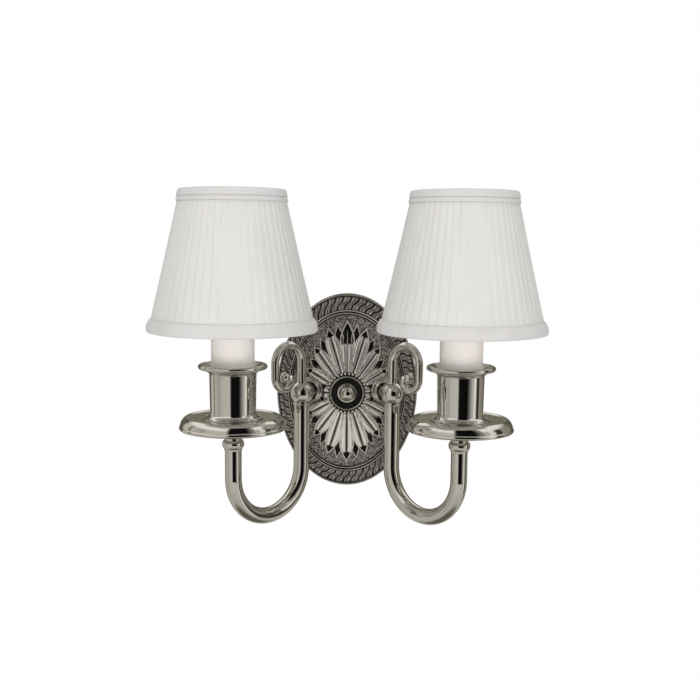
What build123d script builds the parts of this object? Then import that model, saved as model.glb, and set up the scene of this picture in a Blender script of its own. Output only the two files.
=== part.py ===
from build123d import *
from math import cos, hypot, radians, sin, sqrt
import os

# Double arm wall sconce. An oval cast backplate with a daisy rosette carries two bent tube
# arms. Each arm ends in a turned bead, a drip pan, a candle cup with its sleeve and socket,
# a globe bulb and a clip-on shade, and a tapering scroll curls up from each arm's knuckle.
#
# Frame: X to the right, Y into the wall, Z up. The origin is the middle of the backplate
# on the wall plane, so everything stands at negative Y. Depths count out from the wall.

os.makedirs("parts", exist_ok=True)

# ---------------------------------------------------------------- sizes, millimetres

# Backplate: an oval shell, drawn along its tall axis and narrowed to its width
plate_height = 157.0
plate_width = 113.5
plate_wall = 1.8
plate_edge = 2.4            # square edge that stands on the wall
grinding_stock = 0.5        # cast beyond the wall plane, then ground flat
rim_round = 1.8             # smooth outer rim
band_width = 10.4           # sloping border band
band_front = 8.2            # depth of the band's inner edge
fillet_ring_width = 1.1     # two thin raised rings between the band and the field
fillet_ring_height = 0.9
fillet_ring_gap = 1.0
dome_front = 15.5           # depth of the domed field at its middle
pad_radius = 12.5           # flat pad under the rosette's hub
pad_rise = 0.2

# Rosette: petals reach an oval, the long ones up and down
hub_radius = 14.8
hub_thickness = 2.0
petal_count = 16
petal_reach_tall = 57.5
petal_reach_wide = 34.5
petal_width = 10.4
petal_height = 3.4
leaf_height = 1.7
leaf_width = 5.6
relief_gap = 0.2            # relief's underside above the domed field

# Centre: ring, cup and knob on a hollow threaded nipple
nipple_radius = 4.9
nipple_bore = 3.3
ring_radius = 13.6
ring_width = 1.2
ring_height = 2.5
cup_plate_thickness = 0.8
knob_flange_radius = 7.8
knob_flange_thickness = 1.5
knob_dome_radius = 5.8
knob_height = 8.4
knob_bore_depth = 3.8
turning_gap = 0.3           # between a turning piece and what it faces
thread_clearance = 0.05

# Crossbar on the wall box
crossbar_length = 104.0
crossbar_width = 20.0
crossbar_thickness = 2.4
box_screw_spacing = 88.9
box_slot_length = 12.0
box_slot_width = 4.8
nut_across_flats = 14.0
nut_thickness = 3.2
ground_screw_radius = 1.9
ground_screw_head_radius = 4.2
ground_screw_spot = 24.0

# Arms: each knuckle stands off the plate on a tilted stub, and each U lies in a plane
# turned outward from the wall's normal
root_spread = 35.6          # knuckle centre from the middle, along X
root_stand = 29.0           # knuckle centre from the wall
root_rise = 1.5             # knuckle centre above the plate's middle
stub_tilt = 24.0            # the stub's lean from the wall's normal, degrees
arm_turn = 45.0             # plane of the U from the wall, degrees
arm_span = 68.2             # knuckle to candle axis, in that plane
root_leg = 57.5             # knuckle centre down to the bend
cup_leg = 21.5              # bend up to the tube's end
tube_radius = 6.2
tube_wall = 1.2
ball_radius = 9.3
stub_radius = 6.2
socket_depth = 6.3          # tube end inside the knuckle, measured from the ball's pole
fit_gap = 0.1               # soldered and pushed joints
seat_distance = 14.6        # knuckle centre to the plate's seat, along the stub
seat_radius = 10.4
seat_thickness = 7.4
collar_radius = 9.3
collar_height = 2.8
arm_nipple_length = 18.2
arm_nipple_start = 8.0
wire_passage = 3.6

# Scroll: a tapering bar that rises from the knuckle and curls outward and in
scroll_foot_radius = 4.2
scroll_tip_radius = 2.7
scroll_crown_radius = 13.9
scroll_crown_height = 27.2  # centre of the crown's arc above the knuckle
scroll_drop = 12.6          # straight fall outside, below the crown's arc
scroll_hook_radius = 10.0
scroll_curl_radius = 7.4
scroll_eye_radius = 4.1

# Turned bead and neck under the pan
bead_radius = 8.1
bead_foot_radius = 6.7
bead_height = 8.2
neck_radius = 6.1
neck_height = 15.3          # above the bead's crown
neck_flange_radius = 9.0
neck_flange = 1.2

# Drip pan: a thin inverted saucer
pan_wall = 1.0
pan_seat_radius = 19.4
pan_ridge_radius = 35.4
pan_ridge_rise = 1.1
pan_skirt_width = 4.2       # from the ridge out to the lip
pan_drop = 9.2              # ridge down to the lip's lower edge
pan_lip_height = 4.0        # rolled lip under the short skirt

# Candle cup
cup_foot_radius = 19.0
cup_floor = 1.0
cup_waist_radius = 16.85
cup_neck_radius = 17.35
cup_rim_radius = 25.4
cup_height = 38.6
cup_flare_height = 6.6
cup_bead_height = 1.6
cup_bead_radius = 18.1

# Candle sleeve and lamp socket
sleeve_radius = 15.875
sleeve_wall = 1.1
sleeve_length = 88.9
sleeve_gap = 0.3
socket_radius = 14.3
socket_wall = 0.65
socket_length = 43.2
socket_floor = 14.0
socket_recess = 0.7         # socket's rim below the sleeve's
shell_radius = 13.6
shell_wall = 0.4
bracket_width = 10.0
bracket_metal = 1.6
bracket_spread = 24.0
bracket_tab = 7.0
bracket_hub_radius = 7.0
bracket_hub_height = 6.0

# Globe bulb with a medium screw base
bulb_length = 79.0
globe_radius = 26.2
glass_wall = 0.8
bulb_neck_radius = 12.1
base_radius = 12.95
base_wall = 0.6
base_length = 26.5
base_tip_radius = 4.0
contact_gap = 0.3

# Bulb clip: two crossed hoops with a hinged saddle
hoop_wire = 0.7
hoop_gap = 0.5
hoop_below = 8.0            # legs below the globe's middle
saddle_radius = 6.5
saddle_thickness = 1.5
ear_gap = 3.7               # inner face of each ear from the middle
ear_thickness = 1.2
ear_width = 6.4
pivot_rise = 5.0            # pin above the saddle's top
ear_above = 2.5
pin_radius = 1.0
pin_head_radius = 1.8
pin_head_thickness = 0.9
pin_clearance = 0.05

# Shade: pleated cover on a wire frame with a lining
shade_height = 102.6
shade_above_pivot = 14.3
cover_top_radius = 38.0
cover_bottom_radius = 61.2
cover_thickness = 0.8
edge_lap = 0.7              # trim that wraps over each edge
frame_wire = 1.0
rib_wire = 0.7
rib_count = 6
spider_wire = 1.1
spider_arms = 3
weld_gap = 0.05             # between a spoke's end and the top ring
hub_half_width = 3.4
hub_depth = 6.0
hub_below = 2.9
hub_above = 5.0
hub_cap_radius = 4.5
hub_cap_thickness = 1.5
lining_thickness = 0.5
lining_gap = 0.2
top_trim_width = 9.2
top_trim_proud = 0.7
bottom_trim_width = 9.4
bottom_trim_proud = 2.6

# ---------------------------------------------------------------- places worked out

plate_radius = plate_height / 2
narrowing = plate_width / plate_height
band_outer = plate_radius - rim_round - 0.4 * rim_round
band_inner = band_outer - band_width
field_radius = band_inner - 2 * fillet_ring_width - 2 * fillet_ring_gap
field_front = band_front + 0.3
dome_rise = dome_front - field_front
dome_radius = (field_radius**2 + dome_rise**2) / (2 * dome_rise)


def field_depth(x, z):
    """Distance from the wall to the domed field's surface at a point of the plate."""
    along_tall_axis = hypot(x / narrowing, z)
    return dome_front - dome_radius + sqrt(dome_radius**2 - along_tall_axis**2)


pad_front = dome_front + pad_rise
hub_front = pad_front + hub_thickness
knob_seat = hub_front + cup_plate_thickness + turning_gap

turn_cos = cos(radians(arm_turn))
turn_sin = sin(radians(arm_turn))
bend_radius = arm_span / 2
bend_z = root_rise - root_leg
tube_top = bend_z + cup_leg
root = Vector(root_spread, -root_stand, root_rise)
cup_x = root_spread + arm_span * turn_cos
cup_y = -root_stand - arm_span * turn_sin
stub_direction = Vector(-sin(radians(stub_tilt)), cos(radians(stub_tilt)), 0)
up = Vector(0, 0, 1)

arm_plane = Plane(origin=(root_spread, -root_stand, 0), x_dir=(turn_cos, -turn_sin, 0),
                  z_dir=(-turn_sin, -turn_cos, 0))
candle_plane = Plane(origin=(cup_x, cup_y, 0), x_dir=(1, 0, 0), z_dir=(0, -1, 0))
candle_axis = Axis((cup_x, cup_y, 0), (0, 0, 1))
stub_plane = Plane(origin=root, x_dir=stub_direction, z_dir=stub_direction.cross(up))
stub_axis = Axis(root, stub_direction)

bead_top = tube_top + bead_height
pan_underside = bead_top + neck_height
pan_seat = pan_underside + pan_wall
pan_ridge = pan_seat + pan_ridge_rise
pan_lip_radius = pan_ridge_radius + pan_skirt_width
cup_floor_top = pan_seat + cup_floor
cup_rim = pan_seat + cup_height
sleeve_top = cup_floor_top + sleeve_length
sleeve_bore = sleeve_radius - sleeve_wall
socket_top = sleeve_top - socket_recess
socket_bottom = socket_top - socket_length
socket_floor_top = socket_bottom + socket_floor
bulb_tip = socket_floor_top + 4.6
base_top = bulb_tip + base_length
globe_z = bulb_tip + bulb_length - globe_radius
hoop_radius = globe_radius + hoop_gap + hoop_wire
outer_hoop_radius = hoop_radius + 2 * hoop_wire
saddle_top = globe_z + outer_hoop_radius + saddle_thickness
pivot_z = saddle_top + pivot_rise
shade_top = pivot_z + shade_above_pivot
shade_bottom = shade_top - shade_height
cover_top = shade_top - edge_lap
cover_bottom = shade_bottom + edge_lap
cover_slope = (cover_bottom_radius - cover_top_radius) / (cover_top - cover_bottom)
frame_depth = cover_thickness + lining_gap + frame_wire     # cover's face to the wires
lining_depth = cover_thickness + 2 * lining_gap + 2 * frame_wire


def cover_radius(z):
    """Outer radius of the shade's cover at a height."""
    return cover_top_radius + cover_slope * (cover_top - z)


def across_stub(distance, side=1):
    """Plane square to a knuckle's stub, so far from the knuckle's centre; side is -1 on the left."""
    spot = root + stub_direction * distance
    return Plane(origin=(side * spot.X, spot.Y, spot.Z), x_dir=(0, 0, 1),
                 z_dir=(side * stub_direction.X, stub_direction.Y, 0))


def level(z):
    """Horizontal plane on the candle's axis."""
    return Plane(origin=(cup_x, cup_y, z), x_dir=(1, 0, 0), z_dir=(0, 0, 1))


def keep(piece, name):
    """Label one finished piece and write it."""
    piece.label = name
    export_step(piece, f"parts/{name}.step")


def keep_pair(piece, name):
    """Write the right-hand piece and its mirror image on the left."""
    keep(piece, f"right_{name}")
    keep(mirror(piece, about=Plane.YZ), f"left_{name}")


# ---------------------------------------------------------------- backplate

with BuildPart() as backplate:
    with BuildSketch(Plane.YZ):
        with BuildLine():
            rim_start = (-plate_edge - rim_round, plate_radius - rim_round)
            Line((grinding_stock, plate_radius), (-plate_edge, plate_radius))
            RadiusArc((-plate_edge, plate_radius), rim_start, -rim_round)
            outer = [rim_start, (-plate_edge - 0.8 * rim_round, band_outer), (-band_front, band_inner)]
            ring_edge = band_inner
            for ring in range(2):
                ring_top = -band_front - fillet_ring_height
                outer.append((ring_top, ring_edge - 0.15 * fillet_ring_width))
                outer.append((ring_top, ring_edge - 0.85 * fillet_ring_width))
                outer.append((-band_front, ring_edge - fillet_ring_width))
                ring_edge -= fillet_ring_width + fillet_ring_gap
                outer.append((-band_front, ring_edge))
            outer[-1] = (-field_front, field_radius)
            Polyline(*outer)
            half_field = field_radius / 2
            ThreePointArc((-field_front, field_radius), (-field_depth(0, half_field), half_field),
                          (-dome_front, 0))
            Line((-dome_front, 0), (-dome_front + plate_wall, 0))
            ThreePointArc((-dome_front + plate_wall, 0),
                          (-field_depth(0, half_field) + plate_wall, half_field),
                          (-field_front + plate_wall, field_radius))
            Polyline((-field_front + plate_wall, field_radius), (-band_front + plate_wall, band_inner),
                     (-plate_edge, plate_radius - plate_wall),
                     (grinding_stock, plate_radius - plate_wall), (grinding_stock, plate_radius))
        make_face()
    revolve(axis=Axis.Y)
    scale(by=(narrowing, 1, 1))
    split(bisect_by=Plane.XZ, keep=Keep.TOP)
    # Seats for the knuckles' collars, square to their tilted stubs
    for side in (1, -1):
        with BuildSketch(across_stub(seat_distance, side)):
            Circle(seat_radius)
        extrude(amount=seat_thickness)
        with BuildSketch(across_stub(seat_distance, side)):
            Circle(nipple_radius + fit_gap)
        extrude(amount=2 * seat_thickness, both=True, mode=Mode.SUBTRACT)
    # Flat pad and hole for the centre nipple
    with BuildSketch(Plane.XZ.offset(pad_front - plate_wall)):
        Circle(pad_radius)
    extrude(amount=plate_wall)
    with BuildSketch(Plane.XZ):
        Circle(nipple_radius + fit_gap)
    extrude(amount=pad_front + pad_rise, mode=Mode.SUBTRACT)
keep(backplate.part, "backplate")

# ---------------------------------------------------------------- rosette


def blade(angle, stations):
    """Loft a relief blade that lies on the domed field along a ray from the middle.

    Each station gives the distance out, the width, the height over the field and how far
    the two flutes beside the rib are sunk, as a share of that height."""
    ray = Vector(sin(radians(angle)), 0, cos(radians(angle)))
    across = Vector(cos(radians(angle)), 0, -sin(radians(angle)))
    with BuildPart() as relief:
        for distance, width, height, sink in stations:
            foot = field_depth(distance * ray.X, distance * ray.Z)
            shoulder = 0.66 * height
            flute = height * (1 - sink)
            rib = height * (1 - 0.2 * sink)
            with BuildSketch(Plane(origin=ray * distance + Vector(0, -foot, 0), x_dir=across, z_dir=-ray)):
                with BuildLine():
                    Polyline((-0.50 * width, relief_gap), (-0.50 * width, shoulder), (-0.40 * width, height),
                             (-0.21 * width, flute), (0, rib), (0.21 * width, flute),
                             (0.40 * width, height), (0.50 * width, shoulder),
                             (0.50 * width, relief_gap), close=True)
                make_face()
        loft(ruled=True)
    return relief.part


def reach(angle):
    """How far a petal at this angle from the vertical reaches, on the petals' oval."""
    return 1 / hypot(sin(radians(angle)) / petal_reach_wide, cos(radians(angle)) / petal_reach_tall)


petal_angles = [0, 17, 36, 60, 90]
petal_angles += [180 - angle for angle in petal_angles[3::-1]]
petal_angles += [360 - angle for angle in petal_angles[7:0:-1]]

with BuildPart() as rosette:
    with BuildSketch(Plane.XZ.offset(pad_front)):
        Circle(hub_radius)
    extrude(amount=hub_thickness)
    for number, angle in enumerate(petal_angles):
        tip = reach(angle)
        wide = petal_width * (0.62 + 0.38 * (tip - petal_reach_wide) / (petal_reach_tall - petal_reach_wide))
        start = ring_radius + fit_gap
        add(blade(angle, [(start, 0.42 * wide, 0.9 * petal_height, 0.25),
                          (start + 0.35 * (tip - start), 0.74 * wide, petal_height, 0.4),
                          (start + 0.70 * (tip - start), wide, petal_height, 0.45),
                          (start + 0.88 * (tip - start), 0.66 * wide, 0.85 * petal_height, 0.7),
                          (tip, 0.05 * wide, 0.6 * petal_height, 0.1)]))
        next_angle = petal_angles[(number + 1) % petal_count] + (360 if number + 1 == petal_count else 0)
        between = (angle + next_angle) / 2
        leaf_tip = 0.985 * reach(between)
        add(blade(between, [(start, 0.3 * leaf_width, leaf_height, 0.2),
                            (0.60 * leaf_tip, 0.5 * leaf_width, 0.8 * leaf_height, 0.3),
                            (0.80 * leaf_tip, leaf_width, leaf_height, 0.5),
                            (leaf_tip, 0.08 * leaf_width, 0.5 * leaf_height, 0.1)]))
    with BuildSketch(Plane.XZ):
        Circle(nipple_radius + fit_gap)
    extrude(amount=2 * hub_front, mode=Mode.SUBTRACT)
    # The side petals stop short of the arms' seats
    for side in (1, -1):
        with BuildSketch(across_stub(seat_distance, side)):
            Circle(seat_radius + fit_gap)
        extrude(amount=seat_distance, both=True, mode=Mode.SUBTRACT)
keep(rosette.part, "rosette")

# ---------------------------------------------------------------- centre stack

with BuildPart() as centre_ring:
    with BuildSketch(Plane.XZ.offset(hub_front)):
        Circle(ring_radius)
        Circle(ring_radius - ring_width, mode=Mode.SUBTRACT)
    extrude(amount=ring_height)
    fillet(centre_ring.faces().sort_by(Axis.Y)[0].edges(), 0.45 * ring_width)
keep(centre_ring.part, "centre_ring")

with BuildPart() as centre_cup:
    with BuildSketch(Plane.XZ.offset(hub_front)):
        Circle(ring_radius - ring_width - fit_gap)
        Circle(nipple_radius + fit_gap, mode=Mode.SUBTRACT)
    extrude(amount=cup_plate_thickness)
keep(centre_cup.part, "centre_cup")

with BuildPart() as centre_knob:
    with BuildSketch(Plane.YZ):
        flange_front = knob_seat + knob_flange_thickness
        crown = knob_seat + knob_height
        bore = nipple_radius + thread_clearance
        bore_end = knob_seat + knob_bore_depth
        with BuildLine():
            Polyline((-flange_front, knob_dome_radius), (-flange_front + 0.4, knob_flange_radius),
                     (-knob_seat, knob_flange_radius), (-knob_seat, bore), (-bore_end, bore),
                     (-bore_end, 0), (-crown, 0))
            ThreePointArc((-crown, 0), (-crown + 1.35, 0.68 * knob_dome_radius),
                          (-flange_front - 0.6, knob_dome_radius + 0.3))
            Line((-flange_front - 0.6, knob_dome_radius + 0.3), (-flange_front, knob_dome_radius))
        make_face()
    revolve(axis=Axis.Y)
keep(centre_knob.part, "centre_knob")

with BuildPart() as centre_nipple:
    with BuildSketch(Plane.XZ.offset(0.4)):
        Circle(nipple_radius)
        Circle(nipple_bore, mode=Mode.SUBTRACT)
    extrude(amount=knob_seat + knob_bore_depth - 0.8)
keep(centre_nipple.part, "centre_nipple")

# ---------------------------------------------------------------- crossbar and its fittings

with BuildPart() as crossbar:
    with BuildSketch(Plane.XZ):
        SlotOverall(crossbar_length, crossbar_width, rotation=90)
        Circle(nipple_radius + fit_gap, mode=Mode.SUBTRACT)
        with Locations((0, box_screw_spacing / 2), (0, -box_screw_spacing / 2)):
            SlotOverall(box_slot_length, box_slot_width, rotation=90, mode=Mode.SUBTRACT)
        with Locations((0, -ground_screw_spot)):
            Circle(ground_screw_radius + fit_gap, mode=Mode.SUBTRACT)
    extrude(amount=crossbar_thickness)
keep(crossbar.part, "crossbar")

with BuildPart() as crossbar_nut:
    with BuildSketch(Plane.XZ.offset(crossbar_thickness)):
        RegularPolygon(nut_across_flats / 2, 6, major_radius=False)
        Circle(nipple_radius + fit_gap, mode=Mode.SUBTRACT)
    extrude(amount=nut_thickness)
keep(crossbar_nut.part, "crossbar_nut")

with BuildPart() as ground_screw:
    with BuildSketch(Plane.XZ.offset(0.2)) as shank:
        with Locations((0, -ground_screw_spot)):
            Circle(ground_screw_radius)
    extrude(amount=crossbar_thickness)
    with BuildSketch(Plane.XZ.offset(crossbar_thickness)):
        with Locations((0, -ground_screw_spot)):
            RegularPolygon(ground_screw_head_radius, 6)
    extrude(amount=2.2)
    with BuildSketch(Plane.XZ.offset(crossbar_thickness + 1.4)):
        with Locations((0, -ground_screw_spot)):
            Rectangle(2 * ground_screw_head_radius, 1.0)
    extrude(amount=1.0, mode=Mode.SUBTRACT)
keep(ground_screw.part, "ground_screw")

# ---------------------------------------------------------------- arms

socket_z = root_rise - ball_radius + socket_depth      # tube end inside the knuckle
flat_z = root_rise + sqrt(ball_radius**2 - (scroll_foot_radius + 0.5) ** 2)

with BuildPart() as arm_tube:
    with BuildLine(arm_plane) as arm_line:
        Line((0, socket_z), (0, bend_z))
        ThreePointArc((0, bend_z), (bend_radius, bend_z - bend_radius), (arm_span, bend_z))
        Line((arm_span, bend_z), (arm_span, tube_top))
    with BuildSketch(Plane(origin=arm_line.line @ 0, z_dir=arm_line.line % 0)):
        Circle(tube_radius)
        Circle(tube_radius - tube_wall, mode=Mode.SUBTRACT)
    sweep(path=arm_line.line)
keep_pair(arm_tube.part, "arm_tube")

with BuildPart() as arm_ball:
    with Locations(root):
        Sphere(ball_radius)
    with BuildSketch(across_stub(0)):
        Circle(stub_radius)
    extrude(amount=seat_distance)
    with BuildSketch(Plane(origin=(root.X, root.Y, flat_z))):
        Circle(ball_radius)
    extrude(amount=ball_radius, mode=Mode.SUBTRACT)
    with BuildSketch(Plane(origin=(root.X, root.Y, socket_z))):
        Circle(tube_radius + fit_gap)
    extrude(amount=-ball_radius, mode=Mode.SUBTRACT)
    with BuildSketch(Plane(origin=(root.X, root.Y, socket_z))):
        Circle(wire_passage)
    extrude(amount=root_rise - socket_z, mode=Mode.SUBTRACT)
    with BuildSketch(across_stub(0)):
        Circle(wire_passage)
    extrude(amount=seat_distance, mode=Mode.SUBTRACT)
    with BuildSketch(across_stub(arm_nipple_start)):
        Circle(nipple_radius + fit_gap)
    extrude(amount=seat_distance, mode=Mode.SUBTRACT)
keep_pair(arm_ball.part, "arm_ball")

with BuildPart() as arm_collar:
    with BuildSketch(stub_plane):
        face = seat_distance - collar_height
        with BuildLine():
            Polyline((face + 0.9, collar_radius - 0.1), (face + 1.5, collar_radius),
                     (seat_distance, collar_radius), (seat_distance, stub_radius + fit_gap),
                     (face + 1.9, stub_radius + fit_gap), (face + 0.8, collar_radius - 1.9))
            ThreePointArc((face + 0.8, collar_radius - 1.9), (face, collar_radius - 0.9),
                          (face + 0.9, collar_radius - 0.1))
        make_face()
    revolve(axis=stub_axis)
keep_pair(arm_collar.part, "arm_collar")

with BuildPart() as arm_nipple:
    with BuildSketch(across_stub(arm_nipple_start)):
        Circle(nipple_radius)
        Circle(nipple_bore, mode=Mode.SUBTRACT)
    extrude(amount=arm_nipple_length)
keep_pair(arm_nipple.part, "arm_nipple")

with BuildPart() as arm_lock_nuts:
    with BuildSketch(across_stub(seat_distance + seat_thickness)):
        RegularPolygon(nut_across_flats / 2, 6, major_radius=False)
        Circle(nipple_radius + fit_gap, mode=Mode.SUBTRACT)
    extrude(amount=nut_thickness)
    mirror(about=Plane.YZ)
keep(arm_lock_nuts.part, "arm_lock_nuts")

with BuildPart() as arm_scroll:
    crown_z = root_rise + scroll_crown_height
    side_u = 2 * scroll_crown_radius
    hook_z = crown_z - scroll_drop
    hook_u = side_u - scroll_hook_radius
    curl_z = hook_z - scroll_hook_radius + scroll_curl_radius
    tip_radius = 0.6 * scroll_curl_radius
    tip_u = hook_u - scroll_curl_radius + tip_radius
    with BuildLine(arm_plane) as scroll_line:
        Line((0, flat_z), (0, crown_z))
        ThreePointArc((0, crown_z), (scroll_crown_radius, crown_z + scroll_crown_radius), (side_u, crown_z))
        Line((side_u, crown_z), (side_u, hook_z))
        CenterArc((hook_u, hook_z), scroll_hook_radius, 0, -90)
        CenterArc((hook_u, curl_z), scroll_curl_radius, -90, -90)
        CenterArc((tip_u, curl_z), tip_radius, 180, -80)
    foot = scroll_line.line @ 0
    tip = scroll_line.line @ 1
    with BuildSketch(Plane(origin=foot, z_dir=scroll_line.line % 0)) as foot_section:
        Circle(scroll_foot_radius)
    with BuildSketch(Plane(origin=tip, z_dir=scroll_line.line % 1)) as tip_section:
        Circle(scroll_tip_radius)
    sweep(sections=[foot_section.sketch.face(), tip_section.sketch.face()], path=scroll_line.line,
          multisection=True)
    with Locations(arm_plane.from_local_coords((hook_u - 0.2, curl_z + 0.8, 0))):
        Sphere(scroll_eye_radius)
keep_pair(arm_scroll.part, "arm_scroll")

# ---------------------------------------------------------------- neck, pan and candle cup

with BuildPart() as neck_bead:
    with BuildSketch(candle_plane):
        bore = nipple_radius + fit_gap
        dish = bead_top - 1.2
        cove_top = pan_underside - neck_flange
        with BuildLine():
            Polyline((bead_foot_radius, tube_top + 1.4), (bead_foot_radius - 0.2, tube_top),
                     (bore, tube_top), (bore, pan_underside), (neck_flange_radius, pan_underside),
                     (neck_flange_radius, cove_top), (neck_radius - 0.4, cove_top - 1.6),
                     (neck_radius - 0.4, dish + 3.2), (neck_radius, dish + 2.6), (neck_radius, dish),
                     (bead_radius - 1.3, bead_top))
            ThreePointArc((bead_radius - 1.3, bead_top), (bead_radius, tube_top + 0.55 * bead_height),
                          (bead_foot_radius, tube_top + 1.4))
        make_face()
    revolve(axis=candle_axis)
keep_pair(neck_bead.part, "neck_bead")

with BuildPart() as drip_pan:
    with BuildSketch(candle_plane):
        lip_top = pan_ridge - pan_drop + pan_lip_height
        lip_bottom = pan_ridge - pan_drop
        bore = nipple_radius + fit_gap
        with BuildLine():
            Polyline((bore, pan_seat), (pan_seat_radius, pan_seat),
                     (pan_ridge_radius - 2.2, pan_ridge - 0.3))
            ThreePointArc((pan_ridge_radius - 2.2, pan_ridge - 0.3), (pan_ridge_radius - 0.8, pan_ridge),
                          (pan_ridge_radius + 0.5, pan_ridge - 0.9))
            Polyline((pan_ridge_radius + 0.5, pan_ridge - 0.9), (pan_lip_radius - 1.2, lip_top + 0.4),
                     (pan_lip_radius - 0.9, lip_top))
            ThreePointArc((pan_lip_radius - 0.9, lip_top), (pan_lip_radius, lip_top - 0.5 * pan_lip_height),
                          (pan_lip_radius - 0.9, lip_bottom))
            Polyline((pan_lip_radius - 0.9, lip_bottom), (pan_lip_radius - 1.9, lip_bottom + 0.4),
                     (pan_ridge_radius - 0.5, pan_ridge - 1.6), (pan_ridge_radius - 2.0, pan_ridge - 1.4),
                     (pan_seat_radius, pan_underside), (bore, pan_underside), (bore, pan_seat))
        make_face()
    revolve(axis=candle_axis)
keep_pair(drip_pan.part, "drip_pan")

with BuildPart() as candle_cup:
    with BuildSketch(candle_plane):
        bore = nipple_radius + fit_gap
        well = sleeve_radius + sleeve_gap
        flare_foot = cup_rim - cup_flare_height
        with BuildLine():
            Line((bore, pan_seat), (cup_foot_radius, pan_seat))
            Line((cup_foot_radius, pan_seat), (cup_foot_radius, pan_seat + 0.7))
            ThreePointArc((cup_foot_radius, pan_seat + 0.7),
                          (cup_waist_radius + 0.5, pan_seat + 1.9), (cup_waist_radius, pan_seat + 4.0))
            Polyline((cup_waist_radius, pan_seat + 4.0), (cup_neck_radius, flare_foot - cup_bead_height),
                     (cup_bead_radius, flare_foot - 0.7 * cup_bead_height),
                     (cup_bead_radius, flare_foot - 0.3 * cup_bead_height),
                     (cup_neck_radius + 0.3, flare_foot))
            ThreePointArc((cup_neck_radius + 0.3, flare_foot),
                          (cup_neck_radius + 3.1, flare_foot + 0.72 * cup_flare_height),
                          (cup_rim_radius - 0.4, cup_rim - 0.9))
            ThreePointArc((cup_rim_radius - 0.4, cup_rim - 0.9), (cup_rim_radius, cup_rim - 0.3),
                          (cup_rim_radius - 0.5, cup_rim))
            ThreePointArc((cup_rim_radius - 0.5, cup_rim), (well + 3.4, cup_rim - 1.3),
                          (well, cup_rim - 4.2))
            Polyline((well, cup_rim - 4.2), (well, cup_floor_top), (bore, cup_floor_top), (bore, pan_seat))
        make_face()
    revolve(axis=candle_axis)
keep_pair(candle_cup.part, "candle_cup")

with BuildPart() as cup_nipple:
    with BuildSketch(level(tube_top + 1.0)):
        Circle(nipple_radius)
        Circle(nipple_bore, mode=Mode.SUBTRACT)
    extrude(amount=cup_floor_top + bracket_hub_height - tube_top)
keep_pair(cup_nipple.part, "cup_nipple")

# ---------------------------------------------------------------- socket and sleeve

with BuildPart() as socket_bracket:
    half = bracket_spread / 2
    with BuildSketch(candle_plane):
        with BuildLine():
            Polyline((half, cup_floor_top), (half, socket_bottom), (half - bracket_tab, socket_bottom),
                     (half - bracket_tab, socket_bottom - bracket_metal),
                     (half - bracket_metal, socket_bottom - bracket_metal),
                     (half - bracket_metal, cup_floor_top + bracket_metal),
                     (0, cup_floor_top + bracket_metal), (0, cup_floor_top), close=True)
        make_face()
        mirror(about=Plane.YZ)
    extrude(amount=bracket_width / 2, both=True)
    with BuildSketch(level(cup_floor_top)):
        Circle(bracket_hub_radius)
    extrude(amount=bracket_hub_height)
    with BuildSketch(level(cup_floor_top)):
        Circle(nipple_radius + fit_gap)
    extrude(amount=bracket_hub_height, mode=Mode.SUBTRACT)
keep_pair(socket_bracket.part, "socket_bracket")

with BuildPart() as socket_body:
    with BuildSketch(level(socket_bottom)):
        Circle(socket_radius)
    extrude(amount=socket_length)
    with BuildSketch(level(socket_floor_top)):
        Circle(socket_radius - socket_wall)
    extrude(amount=socket_length, mode=Mode.SUBTRACT)
keep_pair(socket_body.part, "socket_body")

with BuildPart() as socket_shell:
    with BuildSketch(level(socket_floor_top)):
        Circle(shell_radius)
        Circle(shell_radius - shell_wall, mode=Mode.SUBTRACT)
    extrude(amount=socket_top - socket_floor_top - 1.0)
keep_pair(socket_shell.part, "socket_shell")

with BuildPart() as socket_contact:
    with BuildSketch(level(socket_floor_top)):
        Circle(base_tip_radius)
    extrude(amount=bulb_tip - contact_gap - socket_floor_top)
    fillet(socket_contact.faces().sort_by(Axis.Z)[-1].edges(), 0.8)
keep_pair(socket_contact.part, "socket_contact")

with BuildPart() as candle_sleeve:
    with BuildSketch(level(cup_floor_top)):
        Circle(sleeve_radius)
        Circle(sleeve_bore, mode=Mode.SUBTRACT)
    extrude(amount=sleeve_length)
keep_pair(candle_sleeve.part, "candle_sleeve")

# ---------------------------------------------------------------- bulb

with BuildPart() as bulb_base:
    with BuildSketch(candle_plane):
        shoulder = bulb_tip + 4.8
        with BuildLine():
            Polyline((0, bulb_tip), (base_tip_radius, bulb_tip), (base_tip_radius + 0.6, bulb_tip + 0.7),
                     (base_radius - 3.2, shoulder - 1.6), (base_radius, shoulder),
                     (base_radius, base_top), (base_radius - base_wall, base_top),
                     (base_radius - base_wall, shoulder + 1.0), (0, shoulder + 1.0), close=True)
        make_face()
    revolve(axis=candle_axis)
keep_pair(bulb_base.part, "bulb_base")

with BuildPart() as bulb_glass:
    with BuildSketch(candle_plane):
        inner_neck = bulb_neck_radius - glass_wall
        inner_globe = globe_radius - glass_wall
        neck_foot = base_top - 12
        shoulder_z = globe_z - sqrt(globe_radius**2 - bulb_neck_radius**2)
        inner_shoulder_z = globe_z - sqrt(inner_globe**2 - inner_neck**2)
        with BuildLine():
            Line((bulb_neck_radius, neck_foot), (bulb_neck_radius, shoulder_z))
            ThreePointArc((bulb_neck_radius, shoulder_z), (globe_radius, globe_z),
                          (0, globe_z + globe_radius))
            Line((0, globe_z + globe_radius), (0, globe_z + inner_globe))
            ThreePointArc((0, globe_z + inner_globe), (inner_globe, globe_z),
                          (inner_neck, inner_shoulder_z))
            Line((inner_neck, inner_shoulder_z), (inner_neck, neck_foot))
            Line((inner_neck, neck_foot), (bulb_neck_radius, neck_foot))
        make_face()
    revolve(axis=candle_axis)
keep_pair(bulb_glass.part, "bulb_glass")

# ---------------------------------------------------------------- clip on the bulb

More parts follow.
